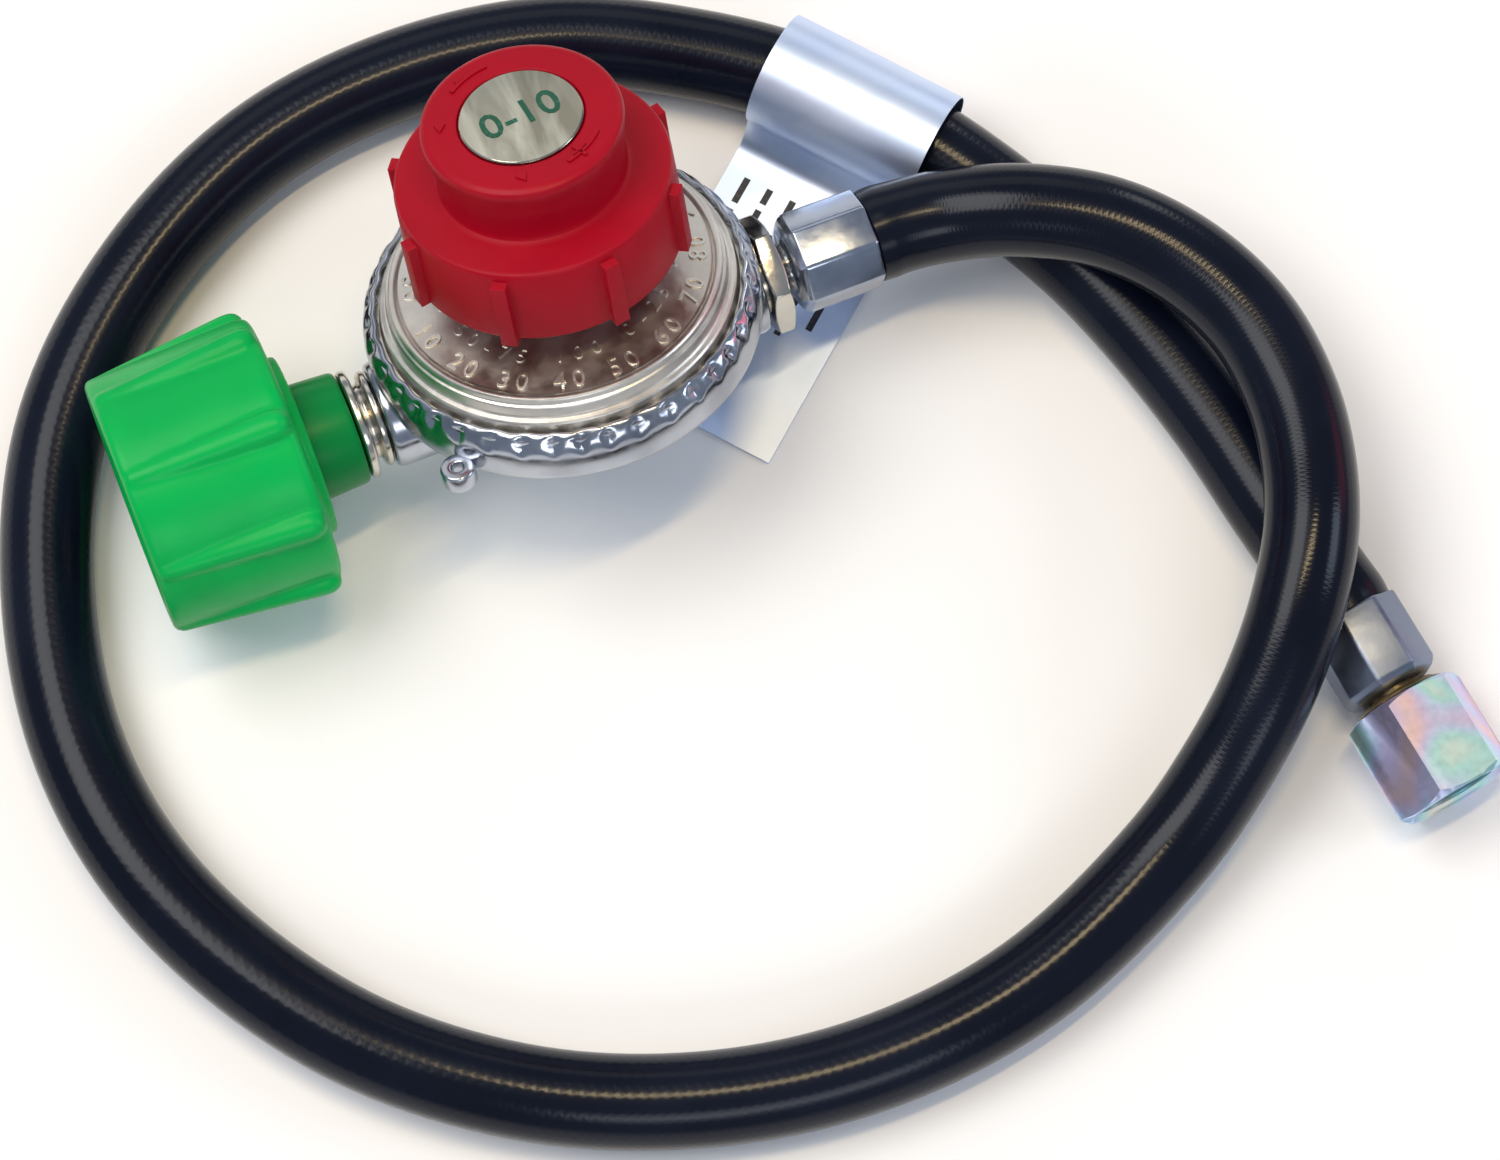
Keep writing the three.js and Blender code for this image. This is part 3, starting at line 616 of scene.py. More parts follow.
def mirror_foil(name, light, dark, roughness, stretch):
    """Rolled mirror foil: soft streaks of the rolling in a near-mirror face."""
    material, nodes, links, shader = blank_material(name)
    shader.inputs["Metallic"].default_value = 1
    place = nodes.new("ShaderNodeTexCoord")
    place.label = "place on the foil"
    place.location = (-1300, 0)

    streaks = nodes.new("NodeFrame")
    streaks.label = "streaks of the rolling"
    lay = nodes.new("ShaderNodeMapping")
    lay.label = "rolling direction"
    lay.inputs["Rotation"].default_value = (0, 0, math.radians(-20))
    lay.inputs["Scale"].default_value = stretch
    lay.location = (-1100, 0)
    lay.parent = streaks
    links.new(place.outputs["Object"], lay.inputs["Vector"])
    streak = nodes.new("ShaderNodeTexNoise")
    streak.label = "long soft streaks"
    streak.inputs["Scale"].default_value = 60
    streak.inputs["Detail"].default_value = 3
    streak.inputs["Distortion"].default_value = 0.6
    streak.location = (-880, 0)
    streak.parent = streaks
    links.new(lay.outputs["Vector"], streak.inputs["Vector"])
    tone = nodes.new("ShaderNodeValToRGB")
    tone.label = "grey to warm white"
    tone.color_ramp.elements[0].position = 0.34
    tone.color_ramp.elements[0].color = (*dark, 1)
    tone.color_ramp.elements[1].position = 0.6
    tone.color_ramp.elements[1].color = (*light, 1)
    tone.location = (-640, 60)
    tone.parent = streaks
    links.new(streak.outputs["Fac"], tone.inputs["Fac"])
    links.new(tone.outputs["Color"], shader.inputs["Base Color"])
    haze = nodes.new("ShaderNodeMapRange")
    haze.label = "haze of the streaks"
    haze.inputs["To Min"].default_value = roughness - 0.05
    haze.inputs["To Max"].default_value = roughness + 0.1
    haze.location = (-640, -200)
    haze.parent = streaks
    links.new(streak.outputs["Fac"], haze.inputs["Value"])
    links.new(haze.outputs["Result"], shader.inputs["Roughness"])

    ripple = nodes.new("ShaderNodeTexNoise")
    ripple.label = "handling ripples"
    ripple.inputs["Scale"].default_value = 150
    ripple.location = (-880, -420)
    links.new(place.outputs["Object"], ripple.inputs["Vector"])
    relief = nodes.new("ShaderNodeBump")
    relief.label = "ripple relief"
    relief.inputs["Strength"].default_value = 0.15
    relief.inputs["Distance"].default_value = 0.0001
    relief.location = (-640, -460)
    links.new(ripple.outputs["Fac"], relief.inputs["Height"])
    links.new(relief.outputs["Normal"], shader.inputs["Normal"])
    return material


disc_foil = mirror_foil("disc_foil", (0.66, 0.65, 0.54), (0.30, 0.29, 0.23), 0.16, (3, 0.6, 1))
fit(disc, regulator_place, disc_foil, "knob_unit", "disc_foil", "knob_disc")


def printing_ink(name, colour, roughness):
    """Printed ink: even colour broken by tiny gaps."""
    material, nodes, links, shader = blank_material(name)
    shader.inputs["Roughness"].default_value = roughness
    place = nodes.new("ShaderNodeTexCoord")
    place.label = "place on the print"
    place.location = (-800, 0)
    gaps = nodes.new("ShaderNodeTexNoise")
    gaps.label = "thin spots in the ink"
    gaps.inputs["Scale"].default_value = 1800
    gaps.location = (-600, 0)
    links.new(place.outputs["Object"], gaps.inputs["Vector"])
    tone = nodes.new("ShaderNodeValToRGB")
    tone.label = "thin to full ink"
    tone.color_ramp.elements[0].position = 0.25
    tone.color_ramp.elements[0].color = (*(min(1, 1.6 * c + 0.03) for c in colour), 1)
    tone.color_ramp.elements[1].position = 0.45
    tone.color_ramp.elements[1].color = (*colour, 1)
    tone.location = (-400, 0)
    links.new(gaps.outputs["Fac"], tone.inputs["Fac"])
    links.new(tone.outputs["Color"], shader.inputs["Base Color"])
    return material


green_ink = printing_ink("green_ink", (0.002, 0.075, 0.038), 0.4)
dial_print = raised_sign("disc_print", "0-10", 7.5, 0.06, swell=0.09)
dial_print.data.transform(Matrix.Rotation(math.radians(5), 4, "Z"))
dial_print.data.transform(Matrix.Translation((0, 0, (DISC_TOP - 0.06) * MM)))
fit(dial_print, regulator_place, green_ink, "knob_unit", "green_plastic")


# Bonnet: die-cast zinc cover with a stepped, grooved edge, two rows of raised
# figures round its sloping face, and the neck that the knob's screw turns in.
FLANGE_TOP = 13.6
CRIMP_HEIGHT = 14.9
bonnet = turned("bonnet_casting", [
    (29.2, 11.3), (31.8, 11.3), (31.8, FLANGE_TOP), (30.2, FLANGE_TOP), (29.9, 14.1),
    (29.8, 15.6), (29.5, 15.95), (28.9, 16.05), (28.6, 16.35), (28.45, 17.9), (28.3, 18.2),
    (27.95, 18.35), (27.8, 18.7), (27.75, 19.2), (27.5, 19.5), (27.0, 19.55), (26.6, 19.4),
    (26.2, 19.0), (25.8, 18.95), (14.5, 21), (13.6, 21.3), (13.1, 22.2), (13, 23),
    (13, 32.4), (12.4, 33), (10.3, 33), (9.8, 32.5), (9.8, 21), (12.5, 18.6), (25, 17),
    (27.5, 14), (29.2, 11.3),
], steps=160)
vent_cutter = turned("vent_cutter", [(0, 15), (1.6, 15), (1.6, 23), (0, 23)], steps=32)
vent_angle = math.radians(80)
vent_spot = Vector((19.5 * math.cos(vent_angle), 19.5 * math.sin(vent_angle), 0)) * MM
vent_cutter.data.transform(Matrix.Translation(vent_spot))
weld(bonnet, [vent_cutter], "DIFFERENCE")
soften(bonnet, 0.12, segments=2)


def plated_metal(name, bright, dull, roughness, spread, grain_scale, grain, cloud_scale=55):
    """Bare or plated metal: clouded tone, uneven gloss and a fine surface grain."""
    material, nodes, links, shader = blank_material(name)
    shader.inputs["Metallic"].default_value = 1
    place = nodes.new("ShaderNodeTexCoord")
    place.label = "place on the metal"
    place.location = (-1300, 0)

    tarnish = nodes.new("NodeFrame")
    tarnish.label = "clouded tone"
    cloud = nodes.new("ShaderNodeTexNoise")
    cloud.label = "cloudy patches"
    cloud.inputs["Scale"].default_value = cloud_scale
    cloud.inputs["Detail"].default_value = 6
    cloud.inputs["Roughness"].default_value = 0.6
    cloud.location = (-1060, 160)
    cloud.parent = tarnish
    links.new(place.outputs["Object"], cloud.inputs["Vector"])
    tone = nodes.new("ShaderNodeValToRGB")
    tone.label = "dull to bright"
    tone.color_ramp.elements[0].position = 0.32
    tone.color_ramp.elements[0].color = (*dull, 1)
    tone.color_ramp.elements[1].position = 0.62
    tone.color_ramp.elements[1].color = (*bright, 1)
    tone.location = (-820, 160)
    tone.parent = tarnish
    links.new(cloud.outputs["Fac"], tone.inputs["Fac"])
    links.new(tone.outputs["Color"], shader.inputs["Base Color"])

    polish = nodes.new("NodeFrame")
    polish.label = "uneven polish"
    smear = nodes.new("ShaderNodeTexNoise")
    smear.label = "smears and stains"
    smear.inputs["Scale"].default_value = cloud_scale * 4
    smear.inputs["Detail"].default_value = 5
    smear.location = (-1060, -120)
    smear.parent = polish
    links.new(place.outputs["Object"], smear.inputs["Vector"])
    gloss = nodes.new("ShaderNodeMapRange")
    gloss.label = "polish to haze"
    gloss.inputs["From Min"].default_value = 0.3
    gloss.inputs["From Max"].default_value = 0.7
    gloss.inputs["To Min"].default_value = max(0.03, roughness - spread)
    gloss.inputs["To Max"].default_value = roughness + spread
    gloss.location = (-820, -120)
    gloss.parent = polish
    links.new(smear.outputs["Fac"], gloss.inputs["Value"])
    links.new(gloss.outputs["Result"], shader.inputs["Roughness"])

    relief = nodes.new("NodeFrame")
    relief.label = "grain of the surface"
    pits = nodes.new("ShaderNodeTexNoise")
    pits.label = "fine grain"
    pits.inputs["Scale"].default_value = grain_scale
    pits.inputs["Detail"].default_value = 4
    pits.location = (-1060, -400)
    pits.parent = relief
    links.new(place.outputs["Object"], pits.inputs["Vector"])
    bump = nodes.new("ShaderNodeBump")
    bump.label = "grain relief"
    bump.inputs["Strength"].default_value = grain
    bump.inputs["Distance"].default_value = 0.00012
    bump.location = (-820, -400)
    bump.parent = relief
    links.new(pits.outputs["Fac"], bump.inputs["Height"])
    links.new(bump.outputs["Normal"], shader.inputs["Normal"])
    return material


cast_zinc = plated_metal("cast_zinc", (0.80, 0.77, 0.71), (0.60, 0.56, 0.50), 0.36, 0.08, 700, 0.35)
fit(bonnet, regulator_place, cast_zinc, "regulator_body", "cast_zinc", "bonnet")

DIAL_SLOPE = math.radians(10)
DIAL_FOOT = 19.28
dial_signs = []
for radius, size, pitch_angle, first, row in (
    (24.0, 4.5, 7.4, -84, "10 20 30 40 50 60 70 80 90 100 0-10 20-30 40-50"),
    (19.3, 3.6, 9.2, -118, "0-25 50-75 100 0-25 50-75"),
):
    height = DIAL_FOOT + (24.0 - radius) * math.tan(DIAL_SLOPE)
    for place_number, sign in enumerate(row):
        if sign == " ":
            continue
        figure = raised_sign("dial_figure", sign, size, 0.3)
        figure.data.transform(Matrix.Rotation(DIAL_SLOPE, 4, "X"))
        figure.data.transform(Matrix.Translation((0, -radius * MM, height * MM)))
        figure_turn = math.radians(first + place_number * pitch_angle)
        figure.data.transform(Matrix.Rotation(figure_turn, 4, "Z"))
        dial_signs.append(figure)
dial = join_all("bonnet_dial", dial_signs)
soften(dial, 0.08, segments=2, angle=50)
fit(dial, regulator_place, cast_zinc, "regulator_body", "cast_zinc")


# Lower body: plated zinc bowl whose rim is rolled over the bonnet's flange by a crimping
# die, which leaves a dent at each jaw. The inlet and outlet bosses are cast on its sides,
# and a small drilled lug takes a lead seal.
RIM_RADIUS = 33.4
CRIMP_DENTS = 40
lower_body = turned("lower_body_casting", [
    (0, -13), (9.5, -13), (10, -12.5), (11.5, -12.5), (12, -13), (16.4, -13), (18.2, -12.2),
    (19.6, -10.4), (25.9, 0.4), (27.5, 1.9), (31, 4.2), (32.3, 5), (33.1, 6.1),
    (RIM_RADIUS, 7.4), (RIM_RADIUS, 9.4), (33.38, 10.6), (33.3, 11.4), (33.18, 12.1),
    (33, 12.7), (32.72, 13.3), (32.36, 13.85), (31.95, 14.35), (31.5, 14.75), (31.1, CRIMP_HEIGHT),
    (30.8, 14.8), (30.7, 14.45), (30.9, 13.9), (32.1, 13.85), (32.1, 9.6), (28.6, 9.6),
    (28.2, 3.6), (23.2, -1), (18.4, -8.5), (0, -8.5),
], steps=CRIMP_DENTS * 10)
for corner in lower_body.data.vertices:
    spot = corner.co / MM
    reach = math.hypot(spot.x, spot.y)
    turn = math.atan2(spot.y, spot.x)
    if spot.z < 11.3 or 32 < reach < 32.15:
        continue
    share = CRIMP_DENTS * turn / (2 * math.pi) + 0.12 * math.sin(7 * turn)
    offset = abs(share % 1 - 0.5)
    depth = min((spot.z - 11.3) / 2.4, max(0, (CRIMP_HEIGHT - spot.z) / 0.9), 1)
    dent = max(0, 1 - offset / (0.12 + 0.24 * depth)) * depth
    ripple = 0.14 * math.sin(CRIMP_DENTS * turn) + 0.07 * math.sin(23 * turn + 1)
    shift = -0.6 * dent + (ripple if spot.z > 14.3 else 0)
    corner.co.x += shift * MM * spot.x / reach
    corner.co.y += shift * MM * spot.y / reach
    corner.co.z += -0.35 * dent * MM
inlet_boss = turned("inlet_boss", [
    (0, 20), (9.2, 20), (9.2, 33), (8.9, 33.9), (8.2, 34.2), (6.8, 34.2), (6.8, 26), (0, 26),
], steps=64)
inlet_boss.data.transform(Matrix.Rotation(-math.pi / 2, 4, "Y"))
outlet_boss = turned("outlet_boss", [
    (0, 21), (9.2, 21), (9.2, 31.8), (8.9, 32.7), (8.2, 33), (6.8, 33), (6.8, 22), (0, 22),
], steps=64)
outlet_boss.data.transform(Matrix.Rotation(math.pi / 2, 4, "Y"))
seal_lug = turned("seal_lug", [
    (1, 5.2), (2.6, 5.2), (2.9, 5.5), (2.9, 8.5), (2.6, 8.8), (1.2, 8.8), (1, 8.6), (1, 5.2),
], steps=32)
lug_angle = math.radians(-139)
lug_spot = Vector((35.6 * math.cos(lug_angle), 35.6 * math.sin(lug_angle), 0)) * MM
seal_lug.data.transform(Matrix.Translation(lug_spot))
lower_body = join_all("lower_body_casting", [lower_body, inlet_boss, outlet_boss, seal_lug])
soften(lower_body, 0.14, segments=2)
plated_rim = plated_metal("plated_rim", (0.46, 0.49, 0.55), (0.29, 0.31, 0.36), 0.19, 0.07, 420, 0.10, 90)
fit(lower_body, regulator_place, plated_rim, "regulator_body", "chromed_zinc", "lower_body")


# Coupling nut: glossy green hand wheel with eight soft ribs that rise towards its back,
# moulded round an Acme thread. It turns on the collar of the thermal bushing.
NUT_FRONT = -78.4
NUT_BACK = -49.2
NUT_RIBS = 8
NUT_RIB_PHASE = math.radians(29.4)
nut_wheel = turned("coupling_nut_moulding", [
    (16.7, NUT_FRONT + 1), (17.6, NUT_FRONT), (21, NUT_FRONT), (21.8, NUT_FRONT + 0.4),
    (22.1, NUT_FRONT + 1.2), (23.2, NUT_BACK - 1.8), (22.8, NUT_BACK - 0.5), (21.8, NUT_BACK),
    (15.6, NUT_BACK), (15.4, NUT_BACK + 1.9), (10.5, NUT_BACK + 1.9), (10.5, -51.7),
    (16.7, -51.7), (16.7, NUT_FRONT + 1),
], steps=96)
rib_length = NUT_BACK - NUT_FRONT
nut_rib = turned("nut_rib", [
    (0, NUT_FRONT + 0.6), (2, NUT_FRONT + 0.6), (2.5, NUT_FRONT + 1.2), (2.7, NUT_BACK - 4),
    (2.6, NUT_BACK - 2.6), (2.1, NUT_BACK - 1.4), (1.2, NUT_BACK - 0.7), (0, NUT_BACK - 0.5),
], steps=32)
for corner in nut_rib.data.vertices:
    share = (corner.co.z / MM - NUT_FRONT) / rib_length
    corner.co.x = corner.co.x * (0.8 + 0.25 * share) + (20.45 + 2.35 * share) * MM
    corner.co.y = corner.co.y * (0.85 + 0.2 * share)
nut_ribs = copies_round(nut_rib, NUT_RIBS, NUT_RIB_PHASE)
coupling_nut = join_all("coupling_nut_moulding", [nut_wheel, *nut_ribs])
remesh = coupling_nut.modifiers.new("one moulding", "REMESH")
remesh.mode = "VOXEL"
remesh.voxel_size = 0.45 * MM
bpy.ops.object.modifier_apply(modifier=remesh.name)
fillet = coupling_nut.modifiers.new("moulded fillets", "SMOOTH")
fillet.factor = 0.5
fillet.iterations = 3
bpy.ops.object.modifier_apply(modifier=fillet.name)
bpy.ops.object.shade_smooth()
green = moulded_plastic("green_plastic", (0.0, 0.42, 0.080), (0.0, 0.36, 0.070), 0.34, 0.10)
fit(coupling_nut, along_inlet, green, "nut", "green_plastic", "coupling_nut")

# Acme thread inside the nut: square-shouldered ridges one lead apart.
THREAD_PITCH = 5.1
thread_rings = []
for turn_number in range(4):
    low = NUT_FRONT + 2.2 + turn_number * THREAD_PITCH
    thread_rings.append(turned("nut_thread", [
        (15.7, low + 0.7), (17.1, low), (17.1, low + 2.6), (15.7, low + 1.9), (15.7, low + 0.7),
    ], steps=64))
nut_thread = join_all("coupling_nut_thread", thread_rings)
soften(nut_thread, 0.1, segments=2)
fit(nut_thread, along_inlet, green, "nut", "green_plastic")


# Thermal bushing: the green collar behind the nut, with the flange inside it that draws
# the nut forward. It melts in a fire and lets the coupling close.
bushing = turned("thermal_bushing_moulding", [
    (6.6, -56), (14.4, -56), (15, -55.4), (15, -52.6), (14.4, -52), (10.1, -52), (10.1, -46.2),
    (9.75, -40.2), (9.6, -39.6), (9.2, -39.2), (6.6, -39.2), (6.6, -56),
], steps=96)
soften(bushing, 0.2, segments=2)
dark_green = moulded_plastic("dark_green_plastic", (0.0, 0.225, 0.048), (0.0, 0.19, 0.040), 0.35, 0.10)
fit(bushing, along_inlet, dark_green, "bushing", "green_plastic", "thermal_bushing")


# Inlet nipple: turned brass with satin nickel plating. Its flange and groove show between
# the green collar and the body, and its nose seals in the cylinder valve.
nipple = turned("inlet_nipple_turning", [
    (3.4, -70), (5, -70), (5.5, -69), (5.8, -68), (5.8, -66), (4.6, -65.7), (4.6, -63.3),
    (6.2, -63), (6.2, -39.3), (6.6, -39), (9, -38.9), (9.4, -38.5), (9.4, -37.7), (9.1, -37.3),
    (7, -37.2), (6.5, -36.9), (6.5, -36.3), (7, -36), (7.7, -35.9), (8.3, -35.4), (8.3, -34.7),
    (8, -34.5), (6.4, -34.5), (6.4, -26.4), (3.4, -26.4), (3.4, -70),
], steps=96)
soften(nipple, 0.12, segments=2)
satin_nickel = plated_metal("satin_nickel", (0.70, 0.67, 0.60), (0.50, 0.48, 0.43), 0.19, 0.07, 900, 0.25)
fit(nipple, along_inlet, satin_nickel, "regulator_body", "nickel", "inlet_nipple")


# Outlet nipple: hexagon barb fitting, satin nickel, screwed into the outlet boss.
def hex_bar(name, across_flats, low, high, phase, chamfer, steps=72):
    """A bar of hexagon stock along Z with its end corners chamfered in the lathe."""
    corner = across_flats / 2 / math.cos(math.pi / 6)
    bpy.ops.object.select_all(action="DESELECT")
    depth = (high - low) * MM
    bpy.ops.mesh.primitive_cylinder_add(vertices=6, radius=corner * MM, depth=depth)
    bar = bpy.context.object
    bar.name = name
    bar.data.transform(Matrix.Rotation(phase - math.pi / 2, 4, "Z"))
    bar.data.transform(Matrix.Translation((0, 0, (low + high) / 2 * MM)))
    shy = across_flats / 2 - 0.3
    envelope = turned("chamfer", [
        (0, low), (shy, low), (corner + 0.3, low + chamfer), (corner + 0.3, high - chamfer),
        (shy, high), (0, high),
    ], steps)
    weld(bar, [envelope], "INTERSECT")
    return bar


outlet_hex = hex_bar("outlet_nipple_hex", 18, RIM_RADIUS + 0.3, 37.3, math.radians(-55), 0.7)
soften(outlet_hex, 0.15, segments=2)
outlet_shank = turned("outlet_shank", [
    (2.4, 22.6), (6.4, 22.6), (6.4, 37.2), (6.2, 37.6), (4.6, 38.2), (4.3, 38.6), (4.3, 40.2),
    (3.7, 40.4), (3.7, 52.6), (3, 53.4), (2.4, 53.4), (2.4, 22.6),
], steps=64)
soften(outlet_shank, 0.1, segments=2)
outlet_nipple = join_all("outlet_nipple_turning", [outlet_hex, outlet_shank])
fit(outlet_nipple, along_inlet, satin_nickel, "regulator_body", "nickel", "outlet_nipple")


# Ferrules: bright plated sleeves pressed onto the hose in an eight-jaw die, which leaves
# eight flats with a soft ridge between each two, a round shoulder and a plain mouth.
FERRULE_LENGTH = 15.3
FERRULE_FLATS = 16.4


def crimped_ferrule(name, phase):
    """A sleeve along Z, its shoulder at zero and its mouth at its full length."""
    corner = FERRULE_FLATS / 2 / math.cos(math.pi / 8)
    bpy.ops.object.select_all(action="DESELECT")
    bpy.ops.mesh.primitive_cylinder_add(vertices=8, radius=corner * MM, depth=(FERRULE_LENGTH - 2) * MM)
    sleeve = bpy.context.object
    sleeve.name = name
    sleeve.data.transform(Matrix.Rotation(phase, 4, "Z"))
    sleeve.data.transform(Matrix.Translation((0, 0, (FERRULE_LENGTH + 2) / 2 * MM)))
    bpy.ops.object.mode_set(mode="EDIT")
    bpy.ops.mesh.select_all(action="DESELECT")
    bpy.ops.object.mode_set(mode="OBJECT")
    for edge in sleeve.data.edges:
        ends = [sleeve.data.vertices[i].co for i in edge.vertices]
        edge.select = abs(ends[0].z - ends[1].z) > MM
    bpy.ops.object.mode_set(mode="EDIT")
    bpy.ops.mesh.bevel(offset=0.55 * MM, segments=4, affect="EDGES")
    bpy.ops.mesh.select_all(action="DESELECT")
    bpy.ops.object.mode_set(mode="OBJECT")
    for face in sleeve.data.polygons:
        face.select = face.normal.z < -0.9
    bpy.ops.object.mode_set(mode="EDIT")
    for drop, shrink in ((0.45, 0.975), (0.55, 0.93), (0.6, 0.82), (0.25, 0.72), (0, 0.6)):
        bpy.ops.mesh.extrude_region_move(TRANSFORM_OT_translate={"value": (0, 0, -drop * MM)})
        bpy.ops.transform.resize(value=(shrink, shrink, 1), center_override=(0, 0, 0))
    bpy.ops.mesh.select_all(action="DESELECT")
    bpy.ops.object.mode_set(mode="OBJECT")
    for face in sleeve.data.polygons:
        face.select = face.normal.z > 0.9
    bpy.ops.object.mode_set(mode="EDIT")
    bpy.ops.mesh.inset(thickness=0.75 * MM)
    bpy.ops.mesh.extrude_region_move(TRANSFORM_OT_translate={"value": (0, 0, -2.5 * MM)})
    bpy.ops.object.mode_set(mode="OBJECT")
    soften(sleeve, 0.12, segments=2, angle=40)
    return sleeve


bright_nickel = plated_metal("bright_nickel", (0.45, 0.50, 0.60), (0.32, 0.36, 0.44), 0.21, 0.05, 500, 0.25)
OUTLET_FERRULE_START = 38.6
outlet_ferrule = crimped_ferrule("outlet_ferrule_sleeve", math.radians(-85))
outlet_ferrule.data.transform(Matrix.Translation((0, 0, OUTLET_FERRULE_START * MM)))
fit(outlet_ferrule, along_inlet, bright_nickel, "regulator_body", "nickel", "outlet_ferrule")
end_ferrule = crimped_ferrule("end_ferrule_sleeve", math.radians(22.5))
end_ferrule.data.transform(Matrix.Rotation(math.pi, 4, "X"))
end_ferrule.data.transform(Matrix.Translation((0, 0, FERRULE_LENGTH * MM)))
# The end ferrule's finish is the ferrule metal painted darker and bluer: painted shade, not a duller
# plating.
ferrule_metal_painted_shade = plated_metal("ferrule_metal_painted_shade", (0.25, 0.29, 0.38), (0.17, 0.20, 0.27), 0.38, 0.08, 500, 0.25)
fit(end_ferrule, end_place, ferrule_metal_painted_shade, "regulator_body", "nickel", "end_ferrule")


# End stem: dark turned brass. Its cone shows between ferrule and nut, its barb is in the
# hose, and its flare nose seals against the appliance.
CONE_END = FERRULE_LENGTH + 1.5
stem = turned("end_stem_turning", [
    (2.4, 1.6), (3, 1.6), (3.7, 2.4), (3.7, 13.6), (4.3, 13.7), (4.3, 15.6), (6.6, 15.6),
    (6.9, 15.75), (8.2, CONE_END - 0.45), (8.0, CONE_END - 0.3), (6, CONE_END - 0.3),
    (6, CONE_END + 4.4), (7.3, CONE_END + 4.6), (7.3, CONE_END + 6), (3.6, CONE_END + 10),
    (2.4, CONE_END + 10), (2.4, 1.6),
], steps=96)
soften(stem, 0.1, segments=2)
dark_brass = plated_metal("dark_brass", (0.62, 0.47, 0.24), (0.36, 0.26, 0.13), 0.37, 0.08, 900, 0.25)
fit(stem, end_place, dark_brass, "regulator_body", "brass", "end_stem")


# Swivel nut: steel hexagon with rainbow-tinted yellow passivation, free to turn on the
# stem's shoulder. Its thread screws onto the appliance.
SWIVEL_FLATS = 19.05
NUT_END = CONE_END + 18.4
swivel = hex_bar("swivel_nut_turning", SWIVEL_FLATS, CONE_END, NUT_END, math.radians(25), 1.2)
swivel_bore = turned("swivel_bore", [
    (0, CONE_END - 1), (6.3, CONE_END - 1), (6.3, CONE_END + 4.2), (7.8, CONE_END + 4.2),
    (7.8, NUT_END - 0.8), (8.6, NUT_END + 0.2), (8.6, NUT_END + 1), (0, NUT_END + 1),
], steps=72)
weld(swivel, [swivel_bore], "DIFFERENCE")
soften(swivel, 0.2, segments=3, angle=25)


def rainbow_zinc(name, tints, roughness):
    """Yellow-passivated zinc: thin-film tints drift across the faces."""
    material, nodes, links, shader = blank_material(name)
    shader.inputs["Metallic"].default_value = 1
    place = nodes.new("ShaderNodeTexCoord")
    place.label = "place on the nut"
    place.location = (-1200, 0)

    film = nodes.new("NodeFrame")
    film.label = "thin-film tints"
    drift = nodes.new("ShaderNodeTexNoise")
    drift.label = "drift of the film's thickness"
    drift.inputs["Scale"].default_value = 70
    drift.inputs["Detail"].default_value = 1.2
    drift.inputs["Distortion"].default_value = 0.5
    drift.location = (-960, 80)
    drift.parent = film
    links.new(place.outputs["Object"], drift.inputs["Vector"])
    tone = nodes.new("ShaderNodeValToRGB")
    tone.label = "film tints by thickness"
    stops = tone.color_ramp.elements
    stops[0].position = 0.3
    stops[0].color = (*tints[0], 1)
    stops[1].position = 0.7
    stops[1].color = (*tints[-1], 1)
    for i, tint in enumerate(tints[1:-1], 1):
        stop = stops.new(0.3 + 0.4 * i / (len(tints) - 1))
        stop.color = (*tint, 1)
    tone.location = (-700, 80)
    tone.parent = film
    links.new(drift.outputs["Fac"], tone.inputs["Fac"])
    links.new(tone.outputs["Color"], shader.inputs["Base Color"])

    drawing = nodes.new("NodeFrame")
    drawing.label = "drawn bar surface"
    grain = nodes.new("ShaderNodeTexNoise")
    grain.label = "pitted draw marks"
    grain.inputs["Scale"].default_value = 900
    grain.inputs["Detail"].default_value = 3
    grain.location = (-960, -240)
    grain.parent = drawing
    links.new(place.outputs["Object"], grain.inputs["Vector"])
    gloss = nodes.new("ShaderNodeMapRange")
    gloss.label = "satin, duller in the pits"
    gloss.inputs["To Min"].default_value = roughness - 0.06
    gloss.inputs["To Max"].default_value = roughness + 0.12
    gloss.location = (-700, -200)
    gloss.parent = drawing
    links.new(grain.outputs["Fac"], gloss.inputs["Value"])
    links.new(gloss.outputs["Result"], shader.inputs["Roughness"])
    bump = nodes.new("ShaderNodeBump")
    bump.label = "pit relief"
    bump.inputs["Strength"].default_value = 0.02
    bump.inputs["Distance"].default_value = 0.0001
    bump.location = (-700, -440)
    bump.parent = drawing
    links.new(grain.outputs["Fac"], bump.inputs["Height"])
    links.new(bump.outputs["Normal"], shader.inputs["Normal"])
    return material


yellow_zinc = rainbow_zinc("yellow_zinc", [
    (0.80, 0.68, 0.55), (0.80, 0.60, 0.64), (0.66, 0.58, 0.82), (0.56, 0.68, 0.92), (0.46, 0.78, 0.78),
    (0.78, 0.80, 0.74),
], 0.35)
fit(swivel, end_place, yellow_zinc, "end_nut", "yellow_zinc", "swivel_nut")
thread_rings = []
for turn_number in range(6):
    low = NUT_END - 8 + turn_number * 1.3
    thread_rings.append(turned("swivel_thread", [
        (7.2, low + 0.5), (7.95, low), (7.95, low + 1.2), (7.2, low + 0.7), (7.2, low + 0.5),
    ], steps=64))
swivel_thread = join_all("swivel_nut_thread", thread_rings)
bpy.ops.object.shade_smooth_by_angle(angle=math.radians(35))
fit(swivel_thread, end_place, yellow_zinc, "end_nut", "yellow_zinc")


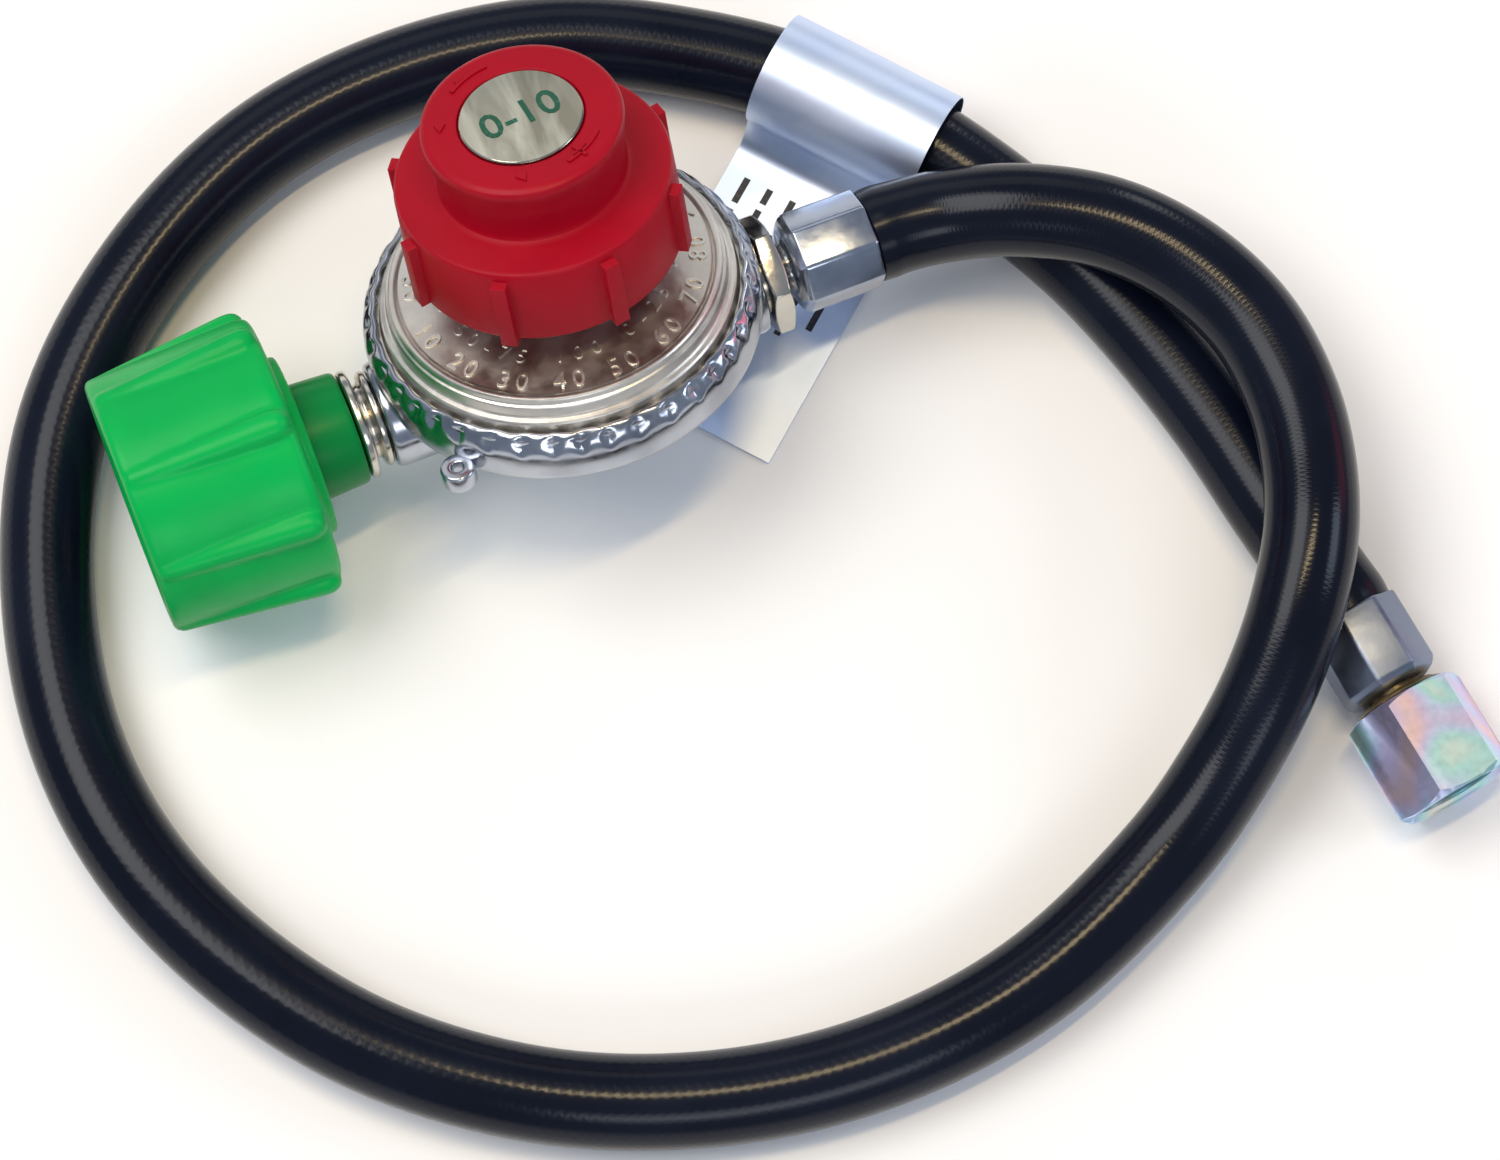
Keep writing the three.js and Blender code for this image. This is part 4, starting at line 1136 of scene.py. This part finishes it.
# Foil tag: one strip of silver film folded round the hose. Its two halves are stuck
# together past the fold and lie on the table under the regulator.
TAG_WIDTH = 32
TAG_LOOP = 10.1
TAG_LENGTH = 71
TAG_HEADING = math.radians(-140.4)
TAG_MIDDLE = (62.5, 25.9)
loop_middle = TAG_LOOP + 0.35
tag_outline = [(TAG_LENGTH - TAG_LOOP - 2 * i, 0.35) for i in range(25)]
tag_outline += [(8.5, 0.36), (5.5, 0.45)]
for i in range(33):
    angle = math.radians(-75 - i * 305 / 32)
    tag_outline.append((TAG_LOOP * math.cos(angle), loop_middle + TAG_LOOP * math.sin(angle)))
tag_outline += [(10.1, 4.4), (10.8, 2.8), (11.7, 1.6), (12.8, 0.9)]
tag_outline += [(14 + 2 * i, 0.7) for i in range(24)] + [(TAG_LENGTH - TAG_LOOP, 0.7)]
bpy.ops.object.select_all(action="DESELECT")
bpy.ops.mesh.primitive_plane_add(size=MM)
tag = bpy.context.object
tag.name = "foil_tag_strip"
bpy.ops.object.mode_set(mode="EDIT")
bpy.ops.mesh.merge(type="CENTER")
here = Vector((tag_outline[0][0], -TAG_WIDTH / 2, tag_outline[0][1])) * MM
bpy.ops.transform.translate(value=here)
for reach, height in tag_outline[1:]:
    step = Vector((reach, -TAG_WIDTH / 2, height)) * MM - here
    bpy.ops.mesh.extrude_region_move(TRANSFORM_OT_translate={"value": step})
    here = here + step
bpy.ops.mesh.select_all(action="SELECT")
for strip in range(8):
    bpy.ops.mesh.extrude_region_move(TRANSFORM_OT_translate={"value": (0, TAG_WIDTH / 8 * MM, 0)})
bpy.ops.mesh.select_all(action="SELECT")
bpy.ops.mesh.normals_make_consistent(inside=False)
bpy.ops.object.mode_set(mode="OBJECT")
skin = tag.modifiers.new("film thickness", "SOLIDIFY")
skin.thickness = 0.14 * MM
skin.offset = 0
bpy.ops.object.modifier_apply(modifier=skin.name)
bpy.ops.object.shade_smooth_by_angle(angle=math.radians(50))
tag_spot = Vector((crossing.x + TAG_MIDDLE[0] * MM, crossing.y + TAG_MIDDLE[1] * MM, 0))
tag_place = Matrix.Translation(tag_spot) @ Matrix.Rotation(TAG_HEADING, 4, "Z")
silver_film = mirror_foil("silver_film", (0.72, 0.82, 1.0), (0.62, 0.74, 0.98), 0.42, (0.4, 1.2, 1))
fit(tag, tag_place, silver_film, "regulator_body", "silver_film", "foil_tag")

# Printed lines on the tag: thin plain bars of ink, in lines that run along the leaf.
black_ink = printing_ink("black_ink", (0.012, 0.012, 0.016), 0.45)
print_bars = []
for across, lengths in (
    (-12.5, (5, 7)), (-8, (3, 4, 6)), (-3.5, (6, 3, 5, 4)),
    (1, (4, 7, 3)), (5.5, (3, 5, 6, 5)), (10, (6, 4, 7)),
):
    reach = 17
    for length in lengths:
        bar = block("print_bar", (reach, across, 0.76), (reach + length, across + 1.2, 0.8))
        print_bars.append(bar)
        reach += length + 1.3
tag_print = join_all("foil_tag_print", print_bars)
fit(tag_print, tag_place, black_ink, "regulator_body", "nitrile")


# Inner parts: plain turned brass and steel, and moulded nitrile, seen only when the
# regulator is opened. They keep their frame shapes.
turned_brass = plated_metal("turned_brass", (0.80, 0.62, 0.32), (0.60, 0.44, 0.20), 0.25, 0.08, 900, 0.25)
spring_steel = plated_metal("spring_steel", (0.60, 0.62, 0.65), (0.40, 0.42, 0.45), 0.28, 0.08, 1200, 0.2)
nitrile = hose_rubber("nitrile", (0.012, 0.012, 0.013), (0.03, 0.03, 0.032), 20, 2)
INNER_FINISHES = {
    "adjusting_screw": turned_brass,
    "spring_seat": spring_steel,
    "main_spring": spring_steel,
    "vent_screen": spring_steel,
    "diaphragm": nitrile,
    "diaphragm_plate": spring_steel,
    "diaphragm_stem": turned_brass,
    "orifice": turned_brass,
    "valve_seat": nitrile,
    "valve_plug": turned_brass,
    "lever": spring_steel,
    "lever_pin": spring_steel,
    "nose_seal": nitrile,
    "flow_retainer": turned_brass,
    "flow_poppet": turned_brass,
    "flow_spring": spring_steel,
    "flow_stop": turned_brass,
}
for node, finish in INNER_FINISHES.items():
    for slot in frame["nodes"][node].material_slots:
        slot.material = finish
